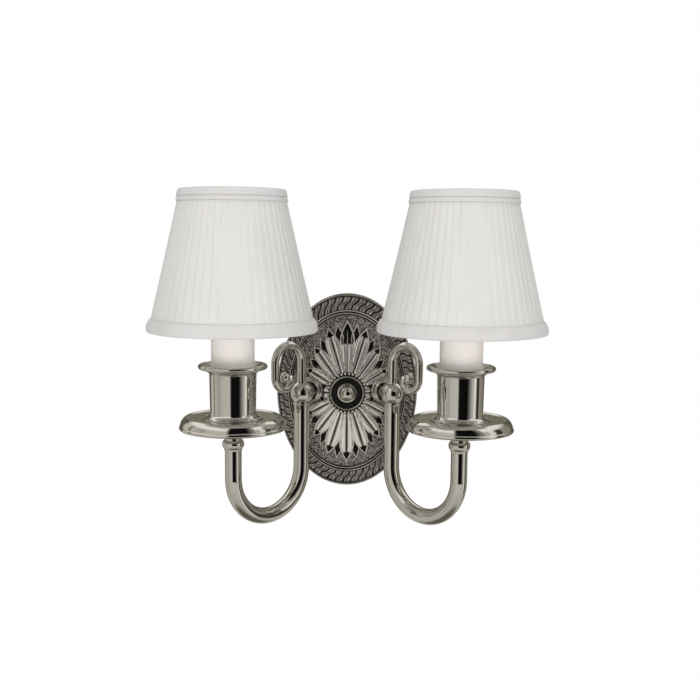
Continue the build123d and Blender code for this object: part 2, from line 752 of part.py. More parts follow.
with BuildPart() as shade_clip:
    for radius, direction in ((hoop_radius, (1, 1, 0)), (outer_hoop_radius, (1, -1, 0))):
        hoop_plane = Plane(origin=(cup_x, cup_y, globe_z), x_dir=direction,
                           z_dir=Vector(*direction).cross(up))
        with BuildLine(hoop_plane) as hoop_line:
            Line((radius, -hoop_below), (radius, 0))
            ThreePointArc((radius, 0), (0, radius), (-radius, 0))
            Line((-radius, 0), (-radius, -hoop_below))
        with BuildSketch(Plane(origin=hoop_line.line @ 0, z_dir=(0, 0, 1))):
            Circle(hoop_wire)
        sweep(path=hoop_line.line)
    # Rivet through both hoops, saddle plate and its two ears
    with BuildSketch(level(globe_z + hoop_radius - hoop_wire)):
        Circle(2 * hoop_wire)
    extrude(amount=saddle_top - globe_z - hoop_radius + hoop_wire)
    with BuildSketch(level(saddle_top - saddle_thickness)):
        Circle(saddle_radius)
    extrude(amount=saddle_thickness)
    for side in (1, -1):
        ear_middle = cup_x + side * (ear_gap + ear_thickness / 2)
        with BuildSketch(Plane(origin=(ear_middle, cup_y, saddle_top))):
            Rectangle(ear_thickness, ear_width)
        extrude(amount=pivot_rise + ear_above)
    with BuildSketch(Plane(origin=(cup_x, cup_y, pivot_z), x_dir=(0, 1, 0), z_dir=(1, 0, 0))):
        Circle(pin_radius + fit_gap)
    extrude(amount=ear_gap + 2 * ear_thickness, both=True, mode=Mode.SUBTRACT)
keep_pair(shade_clip.part, "shade_clip")

with BuildPart() as clip_pin:
    ear_face = ear_gap + ear_thickness
    pin_plane = Plane(origin=(cup_x, cup_y, pivot_z), x_dir=(0, 1, 0), z_dir=(1, 0, 0))
    with BuildSketch(pin_plane):
        Circle(pin_radius)
    extrude(amount=ear_face, both=True)
    for side in (1, -1):
        with BuildSketch(pin_plane.offset(side * ear_face)):
            Circle(pin_head_radius)
        extrude(amount=side * pin_head_thickness)
keep_pair(clip_pin.part, "clip_pin")

# ---------------------------------------------------------------- shade

top_ring_z = cover_top - frame_wire - lining_gap
bottom_ring_z = cover_bottom + frame_wire + lining_gap
top_ring_radius = cover_radius(top_ring_z) - frame_depth
bottom_ring_radius = cover_radius(bottom_ring_z) - frame_depth
spider_z = pivot_z + hub_above
spider_spokes = []          # one plane per spider arm, at the hub and facing the top ring
for number in range(spider_arms):
    angle = radians(360 * number / spider_arms + 90)
    heel = Vector(cup_x, cup_y, spider_z + hub_cap_thickness / 2)
    head = Vector(cup_x + top_ring_radius * cos(angle), cup_y + top_ring_radius * sin(angle), top_ring_z)
    spider_spokes.append(Plane(origin=heel, z_dir=head - heel))
spoke_length = (head - heel).length

with BuildPart() as shade_frame:
    for ring_z, radius in ((top_ring_z, top_ring_radius), (bottom_ring_z, bottom_ring_radius)):
        with BuildSketch(candle_plane):
            with Locations((radius, ring_z)):
                RegularPolygon(frame_wire, 8)
        revolve(axis=candle_axis)
    for number in range(rib_count):
        angle = radians(360 * number / rib_count)
        outward = Vector(cos(angle), sin(angle), 0)
        centre = Vector(cup_x, cup_y, 0)
        head = centre + outward * top_ring_radius + up * top_ring_z
        heel = centre + outward * bottom_ring_radius + up * bottom_ring_z
        with BuildSketch(Plane(origin=heel, z_dir=head - heel)):
            Circle(rib_wire)
        extrude(amount=(head - heel).length)
keep_pair(shade_frame.part, "shade_frame")

with BuildPart() as shade_spider:
    for spoke in spider_spokes:
        with BuildSketch(spoke):
            Circle(spider_wire)
        extrude(amount=spoke_length - frame_wire - weld_gap)
    with BuildSketch(level(spider_z)):
        Circle(hub_cap_radius)
    extrude(amount=hub_cap_thickness)
    with BuildSketch(level(pivot_z - hub_below)):
        Rectangle(2 * hub_half_width, hub_depth)
    extrude(amount=hub_below + hub_above)
    with BuildSketch(pin_plane):
        Circle(pin_radius + pin_clearance)
    extrude(amount=hub_half_width + 1, both=True, mode=Mode.SUBTRACT)
keep_pair(shade_spider.part, "shade_spider")


def cone_skin(depth, thickness):
    """A skin that follows the shade's cone, so deep behind the cover's face."""
    with BuildPart() as skin:
        with BuildSketch(candle_plane):
            with BuildLine():
                outside = [(cover_radius(z) - depth, z) for z in (cover_bottom, cover_top)]
                inside = [(radius - thickness, z) for radius, z in reversed(outside)]
                Polyline(*outside, *inside, close=True)
            make_face()
        revolve(axis=candle_axis)
    return skin.part


keep_pair(cone_skin(0, cover_thickness), "shade_cover")

with BuildPart() as shade_liner:
    add(cone_skin(lining_depth, lining_thickness))
    for spoke in spider_spokes:
        with BuildSketch(spoke):
            Circle(spider_wire + fit_gap)
        extrude(amount=top_ring_radius + frame_wire, mode=Mode.SUBTRACT)
keep_pair(shade_liner.part, "shade_liner")

with BuildPart() as shade_top_trim:
    with BuildSketch(candle_plane):
        low = shade_top - top_trim_width
        face = cover_radius(cover_top) + top_trim_proud
        with BuildLine():
            Polyline((cover_radius(low), low), (cover_radius(low) + top_trim_proud, low + 0.3),
                     (face, shade_top - 0.5), (face - 0.5, shade_top),
                     (cover_radius(cover_top) - lining_depth - lining_thickness, shade_top),
                     (cover_radius(cover_top) - lining_depth - lining_thickness, cover_top),
                     (cover_radius(cover_top), cover_top), close=True)
        make_face()
    revolve(axis=candle_axis)
keep_pair(shade_top_trim.part, "shade_top_trim")

with BuildPart() as shade_bottom_trim:
    with BuildSketch(candle_plane):
        high = shade_bottom + bottom_trim_width
        belly = shade_bottom + 0.4 * bottom_trim_width
        inside = cover_radius(cover_bottom) - lining_depth - lining_thickness
        with BuildLine():
            Line((inside, cover_bottom), (cover_radius(cover_bottom), cover_bottom))
            Line((cover_radius(cover_bottom), cover_bottom), (cover_radius(high), high))
            ThreePointArc((cover_radius(high), high), (cover_radius(belly) + bottom_trim_proud, belly),
                          (cover_radius(cover_bottom), shade_bottom))
            Line((cover_radius(cover_bottom), shade_bottom), (inside, shade_bottom))
            Line((inside, shade_bottom), (inside, cover_bottom))
        make_face()
    revolve(axis=candle_axis)
keep_pair(shade_bottom_trim.part, "shade_bottom_trim")
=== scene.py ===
import bpy
import bmesh
from math import atan2, cos, exp, hypot, pi, radians, sin, sqrt, tan
from mathutils import Matrix, Vector


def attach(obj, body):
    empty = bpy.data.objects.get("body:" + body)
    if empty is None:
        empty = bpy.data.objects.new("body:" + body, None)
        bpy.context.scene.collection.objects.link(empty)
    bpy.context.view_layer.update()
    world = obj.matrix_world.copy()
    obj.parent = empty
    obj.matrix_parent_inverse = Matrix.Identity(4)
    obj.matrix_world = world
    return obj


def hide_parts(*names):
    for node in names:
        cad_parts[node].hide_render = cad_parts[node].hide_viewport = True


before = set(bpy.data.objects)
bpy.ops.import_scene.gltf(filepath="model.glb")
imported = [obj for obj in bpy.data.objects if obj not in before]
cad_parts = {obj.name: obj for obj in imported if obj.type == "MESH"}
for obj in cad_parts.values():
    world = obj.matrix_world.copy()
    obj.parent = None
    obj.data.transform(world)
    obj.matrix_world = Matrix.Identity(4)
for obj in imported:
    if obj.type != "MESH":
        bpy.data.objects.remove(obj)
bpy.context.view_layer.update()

# ---------------------------------------------------------------- cast backplate
# An oval brass casting, silver plated and then darkened in its hollows. A smooth rolled rim
# holds a border of rope curls, two thin fillets and a punched, domed field. It is hollow
# behind, stands on the wall on its rear edge, and the centre knob draws it up to the wall.

plate_narrowing = 113.5 / 157.0
dome_radius, dome_front = 272.6, 15.5
hole_radius, field_edge, second_fillet = 5.2, 61.38, 63.48
border_inner, border_outer, border_curls = 65.58, 75.98, 64
border_high, border_low = 8.2, 3.9                  # depth of the border's inner and outer edge
curl_steps, plate_wall = 16, 1.8                    # points along one curl, casting's thickness
knuckle_at = (35.6, -29.0, 1.5)                     # middle of the right arm's knuckle
stub_lean = (-0.40674, 0.91355, 0.0)                # from that knuckle back to the plate


def skin(name, shells, patina=None, cushion=35):
    """One mesh from shells of rings, drawn in millimetres. Each ring joins the next by quads,
    and a ring of one point closes to it. patina is one brightness per point, shell by shell.
    An edge that bends by more than cushion, in degrees, stays sharp."""
    points, faces = [], []
    for rings in shells:
        starts = []
        for ring in rings:
            starts.append(len(points))
            points.extend((x / 1000, y / 1000, z / 1000) for x, y, z in ring)
        for near, (ring, after) in enumerate(zip(rings, rings[1:])):
            a, b = starts[near], starts[near + 1]
            for k in range(max(len(ring), len(after))):
                k_next = (k + 1) % max(len(ring), len(after))
                if len(ring) == 1:
                    faces.append((a, b + k, b + k_next))
                elif len(after) == 1:
                    faces.append((a + k_next, a + k, b))
                else:
                    faces.append((a + k, a + k_next, b + k_next, b + k))
    mesh = bpy.data.meshes.new(name)
    mesh.from_pydata(points, [], faces)
    if patina is not None:
        shade = mesh.attributes.new("patina", "FLOAT", "POINT")
        shade.data.foreach_set("value", patina)
    body = bmesh.new()
    body.from_mesh(mesh)
    bmesh.ops.remove_doubles(body, verts=body.verts, dist=2e-6)
    bmesh.ops.recalc_face_normals(body, faces=body.faces)
    body.to_mesh(mesh)
    body.free()
    mesh.shade_smooth()
    mesh.set_sharp_from_angle(angle=radians(cushion))
    piece = bpy.data.objects.new(name, mesh)
    bpy.context.scene.collection.objects.link(piece)
    return piece


def even_angles(count):
    """Angles from the plate's top that step evenly along the oval of the border."""
    fine, lengths = 7200, [0.0]
    for step in range(fine):
        angle = 2 * pi * (step + 0.5) / fine
        lengths.append(lengths[-1] + hypot(plate_narrowing * cos(angle), sin(angle)))
    angles, at = [], 0
    for number in range(count):
        while lengths[at + 1] < lengths[-1] * number / count:
            at += 1
        angles.append(2 * pi * at / fine)
    return angles


def field_depth(x, z):
    """How far the domed field stands out from the wall at a point of the plate."""
    return dome_front - dome_radius + sqrt(max(0.0, dome_radius**2 - (x / plate_narrowing) ** 2 - z * z))


def bell(offset, spread):
    """A smooth hump, 1 in the middle, that dies away over spread."""
    return exp(-((offset / spread) ** 2))


def rope_curl(along, across):
    """Relief of the border, 0 to 1: one S curl per unit along, from -1 to 1 across the band.
    Each strand is round, with a groove on its crest, a lip at its edge and a knob at each end."""
    lean = along - 0.46 * sin(2.0 * across)
    strand = abs((lean % 1.0) - 0.5)
    body = max(0.0, 1 - (strand / 0.37) ** 2) ** 0.5
    vein = 0.62 * bell(strand - 0.02, 0.09) + 0.30 * bell(strand - 0.26, 0.05)
    hollow = ((along - 0.14) % 1.0) - 0.5, ((along + 0.14) % 1.0) - 0.5
    curls = sum(bell(hypot(2.1 * beside, across - end), 0.20) for beside, end in zip(hollow, (0.55, -0.55)))
    lip = 0.30 * bell(strand - 0.33, 0.05)
    edge = min(1.0, (1 - abs(across)) / 0.08)
    return max(0.0, edge) * max(0.0, min(1.0, 0.80 * body - vein + 0.5 * curls + lip))


plate_angles = even_angles(border_curls * curl_steps)
plate_rings, plate_shade = [], []


def plate_ring(tall_radius, depth, shade):
    """One oval ring of the plate. depth and shade are numbers, or functions of the place."""
    ring = []
    for number, angle in enumerate(plate_angles):
        x = plate_narrowing * tall_radius * sin(angle)
        z = tall_radius * cos(angle)
        ring.append((x, -(depth(number, x, z) if callable(depth) else depth), z))
        plate_shade.append(shade(number) if callable(shade) else shade)
    plate_rings.append(ring)


for step in range(15):                                   # domed field, out from the hole
    plate_ring(hole_radius + (field_edge - hole_radius) * step / 14,
               lambda number, x, z: field_depth(x, z), 0.54)
for base in (field_edge, second_fillet):                 # two fillets, each with its groove
    for out, rise, shade in ((0.35, 0.0, 0.05), (0.95, 0.0, 0.05), (1.0, 0.45, 0.4), (1.15, 0.85, 0.9),
                             (1.45, 1.05, 1.0), (1.75, 0.85, 0.9), (1.95, 0.45, 0.4), (2.0, 0.0, 0.08)):
        plate_ring(base + out, 8.25 + rise, shade)
for step in range(27):                                   # border of rope curls
    share = step / 26
    across = 2 * share - 1
    slope = border_high + (border_low - border_high) * share
    plate_ring(border_inner + (border_outer - border_inner) * share,
               lambda number, x, z: slope - 0.15 + 1.1 * rope_curl(number / curl_steps, across),
               lambda number: 0.10 + 0.66 * rope_curl(number / curl_steps, across))
for out, depth, shade in ((76.15, 3.7, 0.05), (76.35, 3.75, 0.1), (76.6, 4.1, 0.3), (77.0, 4.25, 0.42),
                          (77.5, 4.1, 0.45), (77.97, 3.67, 0.42), (78.3, 3.1, 0.36), (78.5, 2.4, 0.3),
                          (78.5, 1.2, 0.25), (78.5, 0.0, 0.2), (76.7, 0.0, 0.2), (76.7, 2.4, 0.15),
                          (border_inner, 6.4, 0.15), (field_edge, 6.7, 0.15)):
    plate_ring(out, depth, shade)
for step in range(1, 6):                                 # hollow back of the field
    plate_ring(field_edge + (hole_radius - field_edge) * step / 5,
               lambda number, x, z: field_depth(x, z) - plate_wall, 0.15)
plate_rings.append(plate_rings[0])
plate_shade.extend(plate_shade[:len(plate_angles)])
plate = skin("plate_casting", [plate_rings], plate_shade)


def softened(outline, nose, closed=False, steps=3):
    """The outline with each corner rounded, as polishing leaves it; nose is the radius."""
    corners, out = [Vector(point) for point in outline], []
    for number, corner in enumerate(corners):
        if not closed and number in (0, len(corners) - 1):
            out.append(corner)
            continue
        back = corners[number - 1] - corner
        on = corners[(number + 1) % len(corners)] - corner
        opening = back.angle(on)
        if opening > radians(170):
            out.append(corner)
            continue
        trim = min(nose / tan(opening / 2), 0.45 * back.length, 0.45 * on.length)
        start, end = corner + trim * back.normalized(), corner + trim * on.normalized()
        for step in range(steps + 1):
            t = step / steps
            out.append((1 - t) ** 2 * start + 2 * t * (1 - t) * corner + t * t * end)
    return out


def curve(start, middle, end, steps=8):
    """Points of the arc through three points of an outline."""
    (ax, ay), (bx, by), (cx, cy) = start, middle, end
    d = 2 * (ax * (by - cy) + bx * (cy - ay) + cx * (ay - by))
    ux = ((ax**2 + ay**2) * (by - cy) + (bx**2 + by**2) * (cy - ay) + (cx**2 + cy**2) * (ay - by)) / d
    uy = ((ax**2 + ay**2) * (cx - bx) + (bx**2 + by**2) * (ax - cx) + (cx**2 + cy**2) * (bx - ax)) / d
    radius = hypot(ax - ux, ay - uy)
    first, mid, last = (atan2(y - uy, x - ux) for x, y in (start, middle, end))
    sweep, part = (last - first) % (2 * pi), (mid - first) % (2 * pi)
    if part > sweep:
        sweep -= 2 * pi
    return [(ux + radius * cos(first + sweep * k / steps), uy + radius * sin(first + sweep * k / steps))
            for k in range(steps + 1)]


def turned(outline, foot, axis, sides=96, closed=False):
    """Rings of a shape turned about an axis. The outline is (radius, distance along the axis)."""
    axis = Vector(axis).normalized()
    one = axis.orthogonal().normalized()
    two = axis.cross(one)
    rings = []
    for radius, along in outline:
        middle = Vector(foot) + along * axis
        if radius < 1e-6:
            rings.append([tuple(middle)])
        else:
            turns = [2 * pi * k / sides for k in range(sides)]
            rings.append([tuple(middle + radius * (cos(turn) * one + sin(turn) * two)) for turn in turns])
    return rings + [rings[0]] if closed else rings


def mirrored(side, place):
    """A place or a direction of the right arm for side 1, and its mirror image for side -1."""
    return Vector((side * place[0], place[1], place[2]))


seat_outline = softened([(5.1, 14.6), (10.0, 14.6), (10.4, 15.0), (10.4, 18.6), (10.1, 19.2),
                         (9.4, 22.0), (5.1, 22.0)], 0.3, closed=True)
seats = skin("plate_seats", [turned(seat_outline, mirrored(side, knuckle_at), mirrored(side, stub_lean),
                                    closed=True) for side in (1, -1)])


def finish_of(name, metallic, roughness):
    """A new material, with its node tree and its shader."""
    material = bpy.data.materials.new(name)
    material.use_nodes = True
    tree = material.node_tree
    shader = tree.nodes["Principled BSDF"]
    shader.inputs["Metallic"].default_value = metallic
    shader.inputs["Roughness"].default_value = roughness
    return material, tree, shader


def grain(tree, scale, detail=3.0, stretch=(1, 1, 1)):
    """Noise that sits still in the object: its strength output, at so many grains a metre."""
    place = tree.nodes.new("ShaderNodeTexCoord")
    mapping = tree.nodes.new("ShaderNodeMapping")
    mapping.inputs["Scale"].default_value = stretch
    noise = tree.nodes.new("ShaderNodeTexNoise")
    noise.inputs["Scale"].default_value = scale
    noise.inputs["Detail"].default_value = detail
    tree.links.new(place.outputs["Object"], mapping.inputs["Vector"])
    tree.links.new(mapping.outputs["Vector"], noise.inputs["Vector"])
    return noise.outputs["Fac"]


def graded(tree, source, stops, target):
    """Run a strength through a colour ramp of (place, colour) stops into a socket."""
    ramp = tree.nodes.new("ShaderNodeValToRGB")
    while len(ramp.color_ramp.elements) < len(stops):
        ramp.color_ramp.elements.new(0.5)
    for element, (spot, colour) in zip(ramp.color_ramp.elements, stops):
        element.position = spot
        element.color = (*colour, 1) if isinstance(colour, tuple) else (colour, colour, colour, 1)
    tree.links.new(source, ramp.inputs["Fac"])
    if target is not None:
        tree.links.new(ramp.outputs["Color"], target)
    return ramp.outputs["Color"]


def relief(tree, shader, height, depth, strength=1.0):
    """Bump of so many metres on a shader, from a strength."""
    bump = tree.nodes.new("ShaderNodeBump")
    bump.inputs["Strength"].default_value = strength
    bump.inputs["Distance"].default_value = depth
    tree.links.new(height, bump.inputs["Height"])
    tree.links.new(bump.outputs["Normal"], shader.inputs["Normal"])


def worked(tree, operation, *terms):
    """One step of arithmetic on strengths. Each term is a number or another node's output."""
    step = tree.nodes.new("ShaderNodeMath")
    step.operation = operation
    for place, term in enumerate(terms):
        if isinstance(term, (int, float)):
            step.inputs[place].default_value = term
        else:
            tree.links.new(term, step.inputs[place])
    return step.outputs[0]


def antique(name, punched):
    """Silver plate, dark where the casting is low. A punched one has a stippled ground."""
    material, tree, shader = finish_of(name, 0.86, 0.3)
    height = tree.nodes.new("ShaderNodeAttribute")
    height.attribute_name = "patina"
    cloud = worked(tree, "MULTIPLY_ADD", grain(tree, 240.0, 4.0), 0.35, -0.17)
    level = worked(tree, "ADD", height.outputs["Fac"], cloud)
    if punched:
        dots = tree.nodes.new("ShaderNodeTexVoronoi")
        dots.inputs["Scale"].default_value = 780.0
        place = tree.nodes.new("ShaderNodeTexCoord")
        tree.links.new(place.outputs["Object"], dots.inputs["Vector"])
        dot_height = graded(tree, dots.outputs["Distance"], [(0.0, 1.0), (0.55, 0.15), (0.9, 0.0)], None)
        oval = tree.nodes.new("ShaderNodeMapping")       # only inside the fillets
        oval.inputs["Scale"].default_value = (1 / plate_narrowing, 0, 1)
        tree.links.new(place.outputs["Object"], oval.inputs["Vector"])
        reach = tree.nodes.new("ShaderNodeVectorMath")
        reach.operation = "LENGTH"
        tree.links.new(oval.outputs["Vector"], reach.inputs[0])
        inside = tree.nodes.new("ShaderNodeMapRange")
        inside.inputs["From Min"].default_value = 0.0612       # metres, round the field's edge
        inside.inputs["From Max"].default_value = 0.0618
        inside.inputs["To Min"].default_value = 1.0
        inside.inputs["To Max"].default_value = 0.1
        tree.links.new(reach.outputs["Value"], inside.inputs["Value"])
        stipple = worked(tree, "MULTIPLY_ADD", dot_height, 1.22, -0.63)
        share = worked(tree, "MULTIPLY", inside.outputs[0], height.outputs["Fac"])
        level = worked(tree, "MULTIPLY_ADD", stipple, share, level)      # less where it is dark
        relief(tree, shader, worked(tree, "MULTIPLY", dot_height, inside.outputs[0]), 0.0004, 0.9)
    else:
        relief(tree, shader, grain(tree, 1500.0, 2.0), 0.00003, 0.5)
    tarnish = [(0.05, (0.012, 0.011, 0.011)), (0.24, (0.12, 0.112, 0.104)),
               (0.50, (0.44, 0.42, 0.395)), (0.85, (0.86, 0.835, 0.795))]
    graded(tree, level, tarnish, shader.inputs["Base Color"])
    graded(tree, level, [(0.1, 0.5), (0.6, 0.30), (1.0, 0.20)], shader.inputs["Roughness"])
    return material


punched_silver = antique("antique_silver_punched", True)
plate.data.materials.append(punched_silver)
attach(plate, "root")
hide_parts("backplate")

# ---------------------------------------------------------------- daisy rosette
# A separate casting laid on the field: sixteen lance petals, each two polished fingers inside
# a raised outline with a dark hollow at its point, sixteen arrow leaves between them, and a
# ring of beads over the petals' feet. The same nipple clamps it against the plate.

petal_angles = [0, 17, 36, 60, 90, 120, 144, 163, 180, 197, 216, 240, 270, 300, 324, 343]
petal_start, oval_wide, oval_tall = 13.8, 34.5, 57.5
petal_width, leaf_width, leaf_reach = 12.2, 7.4, 0.985
petal_steps, leaf_steps = 52, 44
bead_count, bead_radius, bead_ring, bead_depth = 32, 1.05, 15.4, 18.8
seat_spot, seat_clear = (29.66, 1.5), 10.7          # an arm's seat, and what stays clear round it


def eased(value, low, high):
    """0 below low, 1 above high, and smooth between."""
    t = min(1.0, max(0.0, (value - low) / (high - low)))
    return t * t * (3 - 2 * t)


def oval_reach(angle):
    """How far a petal at an angle from the top reaches before the oval, or before a seat."""
    across, along = abs(sin(radians(angle))), cos(radians(angle))
    tip = 1 / hypot(across / oval_wide, along / oval_tall)
    centre = seat_spot[0] * across + seat_spot[1] * along
    miss = abs(seat_spot[0] * along - seat_spot[1] * across)
    if miss < seat_clear:
        tip = min(tip, centre - sqrt(seat_clear**2 - miss**2))
    return tip


def clear_of_seat(x, z):
    """Move a point that would lie inside an arm's seat to the seat's edge."""
    side = 1 if x > 0 else -1
    dx, dz = side * x - seat_spot[0], z - seat_spot[1]
    away = hypot(dx, dz)
    if away >= seat_clear:
        return x, z
    return side * (seat_spot[0] + dx * seat_clear / away), seat_spot[1] + dz * seat_clear / away


def blade(angle, tip, width, shape, stations, columns):
    """A closed relief blade along a ray. shape(u, v, rim) gives its height and its brightness.
    columns are the places across it, 0 in the middle to 1 at the edge, where it is drawn."""
    ray, ring_list, shade = radians(angle), [], []
    for step in range(stations + 1):
        u = step / stations
        distance = petal_start + (tip - petal_start) * u
        half = 0.5 * width(u)
        section = []
        for v in [-place for place in reversed(columns[1:])] + columns:
            height, bright = shape(u, abs(v), (1 - abs(v)) * half)
            section.append((v * half, height, bright))
        section += [(half, -0.5, 0.0), (-half, -0.5, 0.0)]
        ring = []
        for offset, height, bright in section:
            x, z = clear_of_seat(distance * sin(ray) + offset * cos(ray),
                                 distance * cos(ray) - offset * sin(ray))
            ring.append((x, -field_depth(x, z) - height, z))
            shade.append(bright)
        ring_list.append(ring)
    foot, point = ([tuple(sum(place[axis] for place in ring) / len(ring) for axis in range(3))]
                   for ring in (ring_list[0], ring_list[-1]))
    return [foot, *ring_list, point], [0.3] + shade + [0.3]


across_petal = [0.0, 0.03, 0.06, 0.10, 0.16, 0.26, 0.38, 0.50, 0.62, 0.72, 0.79, 0.84, 0.88, 0.915,
                0.95, 0.98, 1.0]


def round_rim(rim, width):
    """The half-round outline of a petal or a leaf, by the distance in from its edge."""
    return sqrt(max(0.0, 1 - (2 * rim / width - 1) ** 2))


def petal_shape(hollow, rib_width):
    """Two rounded fingers, a rib between them, a fine outline, and from hollow on a pit."""
    def shape(u, off, rim):
        finger = max(0.0, 1 - (abs(off - 0.45) / 0.41) ** 2.6) ** 0.5
        fingers = 1 - eased(u, hollow - 0.03 + 0.05 * off, hollow + 0.03 + 0.05 * off)
        fingers *= finger * eased(rim, 0.8, 1.2)
        outline = round_rim(rim, 1.3)
        rib = 0.8 * bell(off, rib_width) * (1 - eased(u, 0.78, 0.86))
        pit = eased(u, hollow, hollow + 0.04) * eased(rim, 1.2, 1.4) * (1 - rib)
        foot = eased(u, 0.04, 0.09)
        height = 1.5 + 1.9 * fingers + 0.8 * outline + 0.7 * rib - 0.9 * pit
        bright = max(fingers * (0.76 + 0.24 * bell(off - 0.40, 0.25)), outline ** 0.4, rib) * (1 - pit)
        return height, 0.04 + 0.96 * foot * bright
    return shape


def leaf_shape(u, off, rim):
    """An arrow leaf: a bright outline round a dark hollow near its point."""
    outline = round_rim(rim, 1.15)
    pit = eased(u, 0.70, 0.75) * eased(rim, 1.0, 1.2)
    vein = 0.6 * bell(off - 0.30, 0.16) * (1 - eased(u, 0.64, 0.72))
    height = 0.9 + 0.8 * outline + 0.6 * vein - 0.5 * pit
    return height, 0.05 + 0.95 * max(outline ** 0.4, vein) * (1 - pit)


def lance(full):
    """Width along a petal: narrow at the ring, widest past its middle, then an arched point."""
    widest = 0.64

    def width(u):
        if u < widest:
            return full * (0.40 + 0.60 * sin(pi / 2 * (u / widest)))
        return full * max(0.05, 1 - ((u - widest) / (1 - widest)) ** 1.65)
    return width


def arrow(full):
    """Width along a leaf: a stalk that opens into a short arrow head."""
    head = 0.76

    def width(u):
        if u < head:
            return full * (0.22 + 0.78 * eased(u, 0.45, 0.72))
        return full * max(0.04, 1 - ((u - head) / (1 - head)) ** 1.3)
    return width


top_petal = petal_shape(hollow=0.56, rib_width=0.10)     # a long hollow with a broad rib
other_petal = petal_shape(hollow=0.80, rib_width=0.02)
blades = []
for angle, after in zip(petal_angles, petal_angles[1:] + [360]):
    tip = oval_reach(angle)
    full = petal_width * (0.76 + 0.24 * min(1.0, max(0.0, (tip - oval_wide) / (oval_tall - oval_wide))))
    petal = top_petal if angle == 0 else other_petal
    blades.append(blade(angle, tip, lance(full), petal, petal_steps, across_petal))
    between = (angle + after) / 2
    blades.append(blade(between, leaf_reach * oval_reach(between), arrow(leaf_width), leaf_shape,
                        leaf_steps, across_petal[::2]))
rosette_shells = [rings for rings, shade in blades]
rosette_shade = [bright for rings, shade in blades for bright in shade]
hub = turned(softened([(5.2, 13.8), (14.8, 13.8), (14.8, 17.7), (5.2, 17.7)], 0.3, closed=True),
             (0, 0, 0), (0, -1, 0), closed=True)
rosette_shells.append(hub)
rosette_shade += [0.25] * sum(len(ring) for ring in hub)
for number in range(bead_count):
    turn = radians(360 * (number + 0.5) / bead_count)
    bead = turned(curve((0.0, bead_radius), (bead_radius, 0.0), (0.0, -bead_radius), 8),
                  (bead_ring * sin(turn), -bead_depth, bead_ring * cos(turn)), (0, -1, 0), sides=14)
    rosette_shells.append(bead)
    rosette_shade += [0.95] * sum(len(ring) for ring in bead)
daisy = skin("rosette_daisy", rosette_shells, rosette_shade)
cast_silver = antique("antique_silver_polished", False)
daisy.data.materials.append(cast_silver)
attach(daisy, "root")
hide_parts("rosette")

# ---------------------------------------------------------------- centre ring, cup and knob
# A polished nickel ring stands round a black enamelled cup, and a turned nickel knob with a
# flange and a dome screws onto the hollow nipple through them. It holds the plate on the wall.


def vary(tree, shader, socket, noise, *stops):
    """Let noise of a scale, a detail and a stretch move a shader's value through ramp stops."""
    graded(tree, grain(tree, *noise), stops, shader.inputs[socket])


def nickel_finish():
    """Polished nickel plate: warm, bright, with faint wipe marks in its gloss."""
    material, tree, shader = finish_of("polished_nickel", 1.0, 0.07)
    vary(tree, shader, "Base Color", (26.0, 3.0), (0.3, (0.655, 0.635, 0.595)), (0.7, (0.695, 0.675, 0.635)))
    vary(tree, shader, "Roughness", (90.0, 5.0, (1, 1, 0.25)), (0.35, 0.035), (0.75, 0.08))
    relief(tree, shader, grain(tree, 420.0, 2.0), 0.000004, 0.35)
    return material


polished_nickel = nickel_finish()


def fit(piece, material, body, slot, *nodes):
    """Give a piece its finish and its body, and hide the solids that it stands for; slot is not used."""
    piece.data.materials.append(material)
    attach(piece, body)
    if nodes:
        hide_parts(*nodes)
    return piece


fit(seats, polished_nickel, "root", "polished_nickel")
toward_room = (0, -1, 0)
ring_outline = [(12.4, 17.7), (12.4, 19.5), *curve((12.42, 19.6), (13.0, 20.2), (13.58, 19.6), 10),
                (13.6, 19.5), (13.6, 17.7)]
fit(skin("ring_round_cup", [turned(ring_outline, (0, 0, 0), toward_room, 128, closed=True)]),
    polished_nickel, "root", "polished_nickel", "centre_ring")

enamel, enamel_tree, enamel_shader = finish_of("black_enamel", 0.0, 0.3)
enamel_shader.inputs["Specular IOR Level"].default_value = 0.06
vary(enamel_tree, enamel_shader, "Base Color", (500.0,), (0.3, 0.006), (0.8, 0.012))
disc_outline = softened([(5.0, 17.7), (12.3, 17.7), (12.3, 18.5), (5.0, 18.5)], 0.15, closed=True)
fit(skin("black_cup", [turned(disc_outline, (0, 0, 0), toward_room, closed=True)]),
    enamel, "root", "black_enamel", "centre_cup")
knob_outline = [(4.95, 18.8), (7.5, 18.8), (7.8, 19.1), (7.8, 19.7), (7.3, 20.2), (6.5, 20.25), (6.35, 20.7),
                *curve((6.1, 20.95), (4.1, 25.75), (0.0, 27.2), 14)]
knob_inside = [(0.0, 22.6), (4.95, 22.6), (4.95, 18.8)]
fit(skin("centre_finial", [turned(softened(knob_outline, 0.2), (0, 0, 0), toward_room, 128),
                           turned(knob_inside, (0, 0, 0), toward_room, 128)]),
    polished_nickel, "knob", "polished_nickel", "centre_knob")

# ---------------------------------------------------------------- crossbar and hardware
# A slotted steel strap that the wall box's screws hold, its nut and green earth screw, the
# running-thread nipples and the lock nuts. All are zinc plated, and all are behind or inside.


def plain_metal(name, colour, dark, roughness, brushed):
    """Plated steel or sheet metal, cloudy and faintly brushed one way."""
    material, tree, shader = finish_of(name, 1.0, roughness)
    vary(tree, shader, "Base Color", (60.0, 5.0), (0.3, dark), (0.7, colour))
    vary(tree, shader, "Roughness", (200.0, 4.0), (0.3, roughness - 0.08), (0.7, roughness + 0.1))
    relief(tree, shader, grain(tree, 900.0, 2.0, brushed), 0.00002, 0.4)
    return material


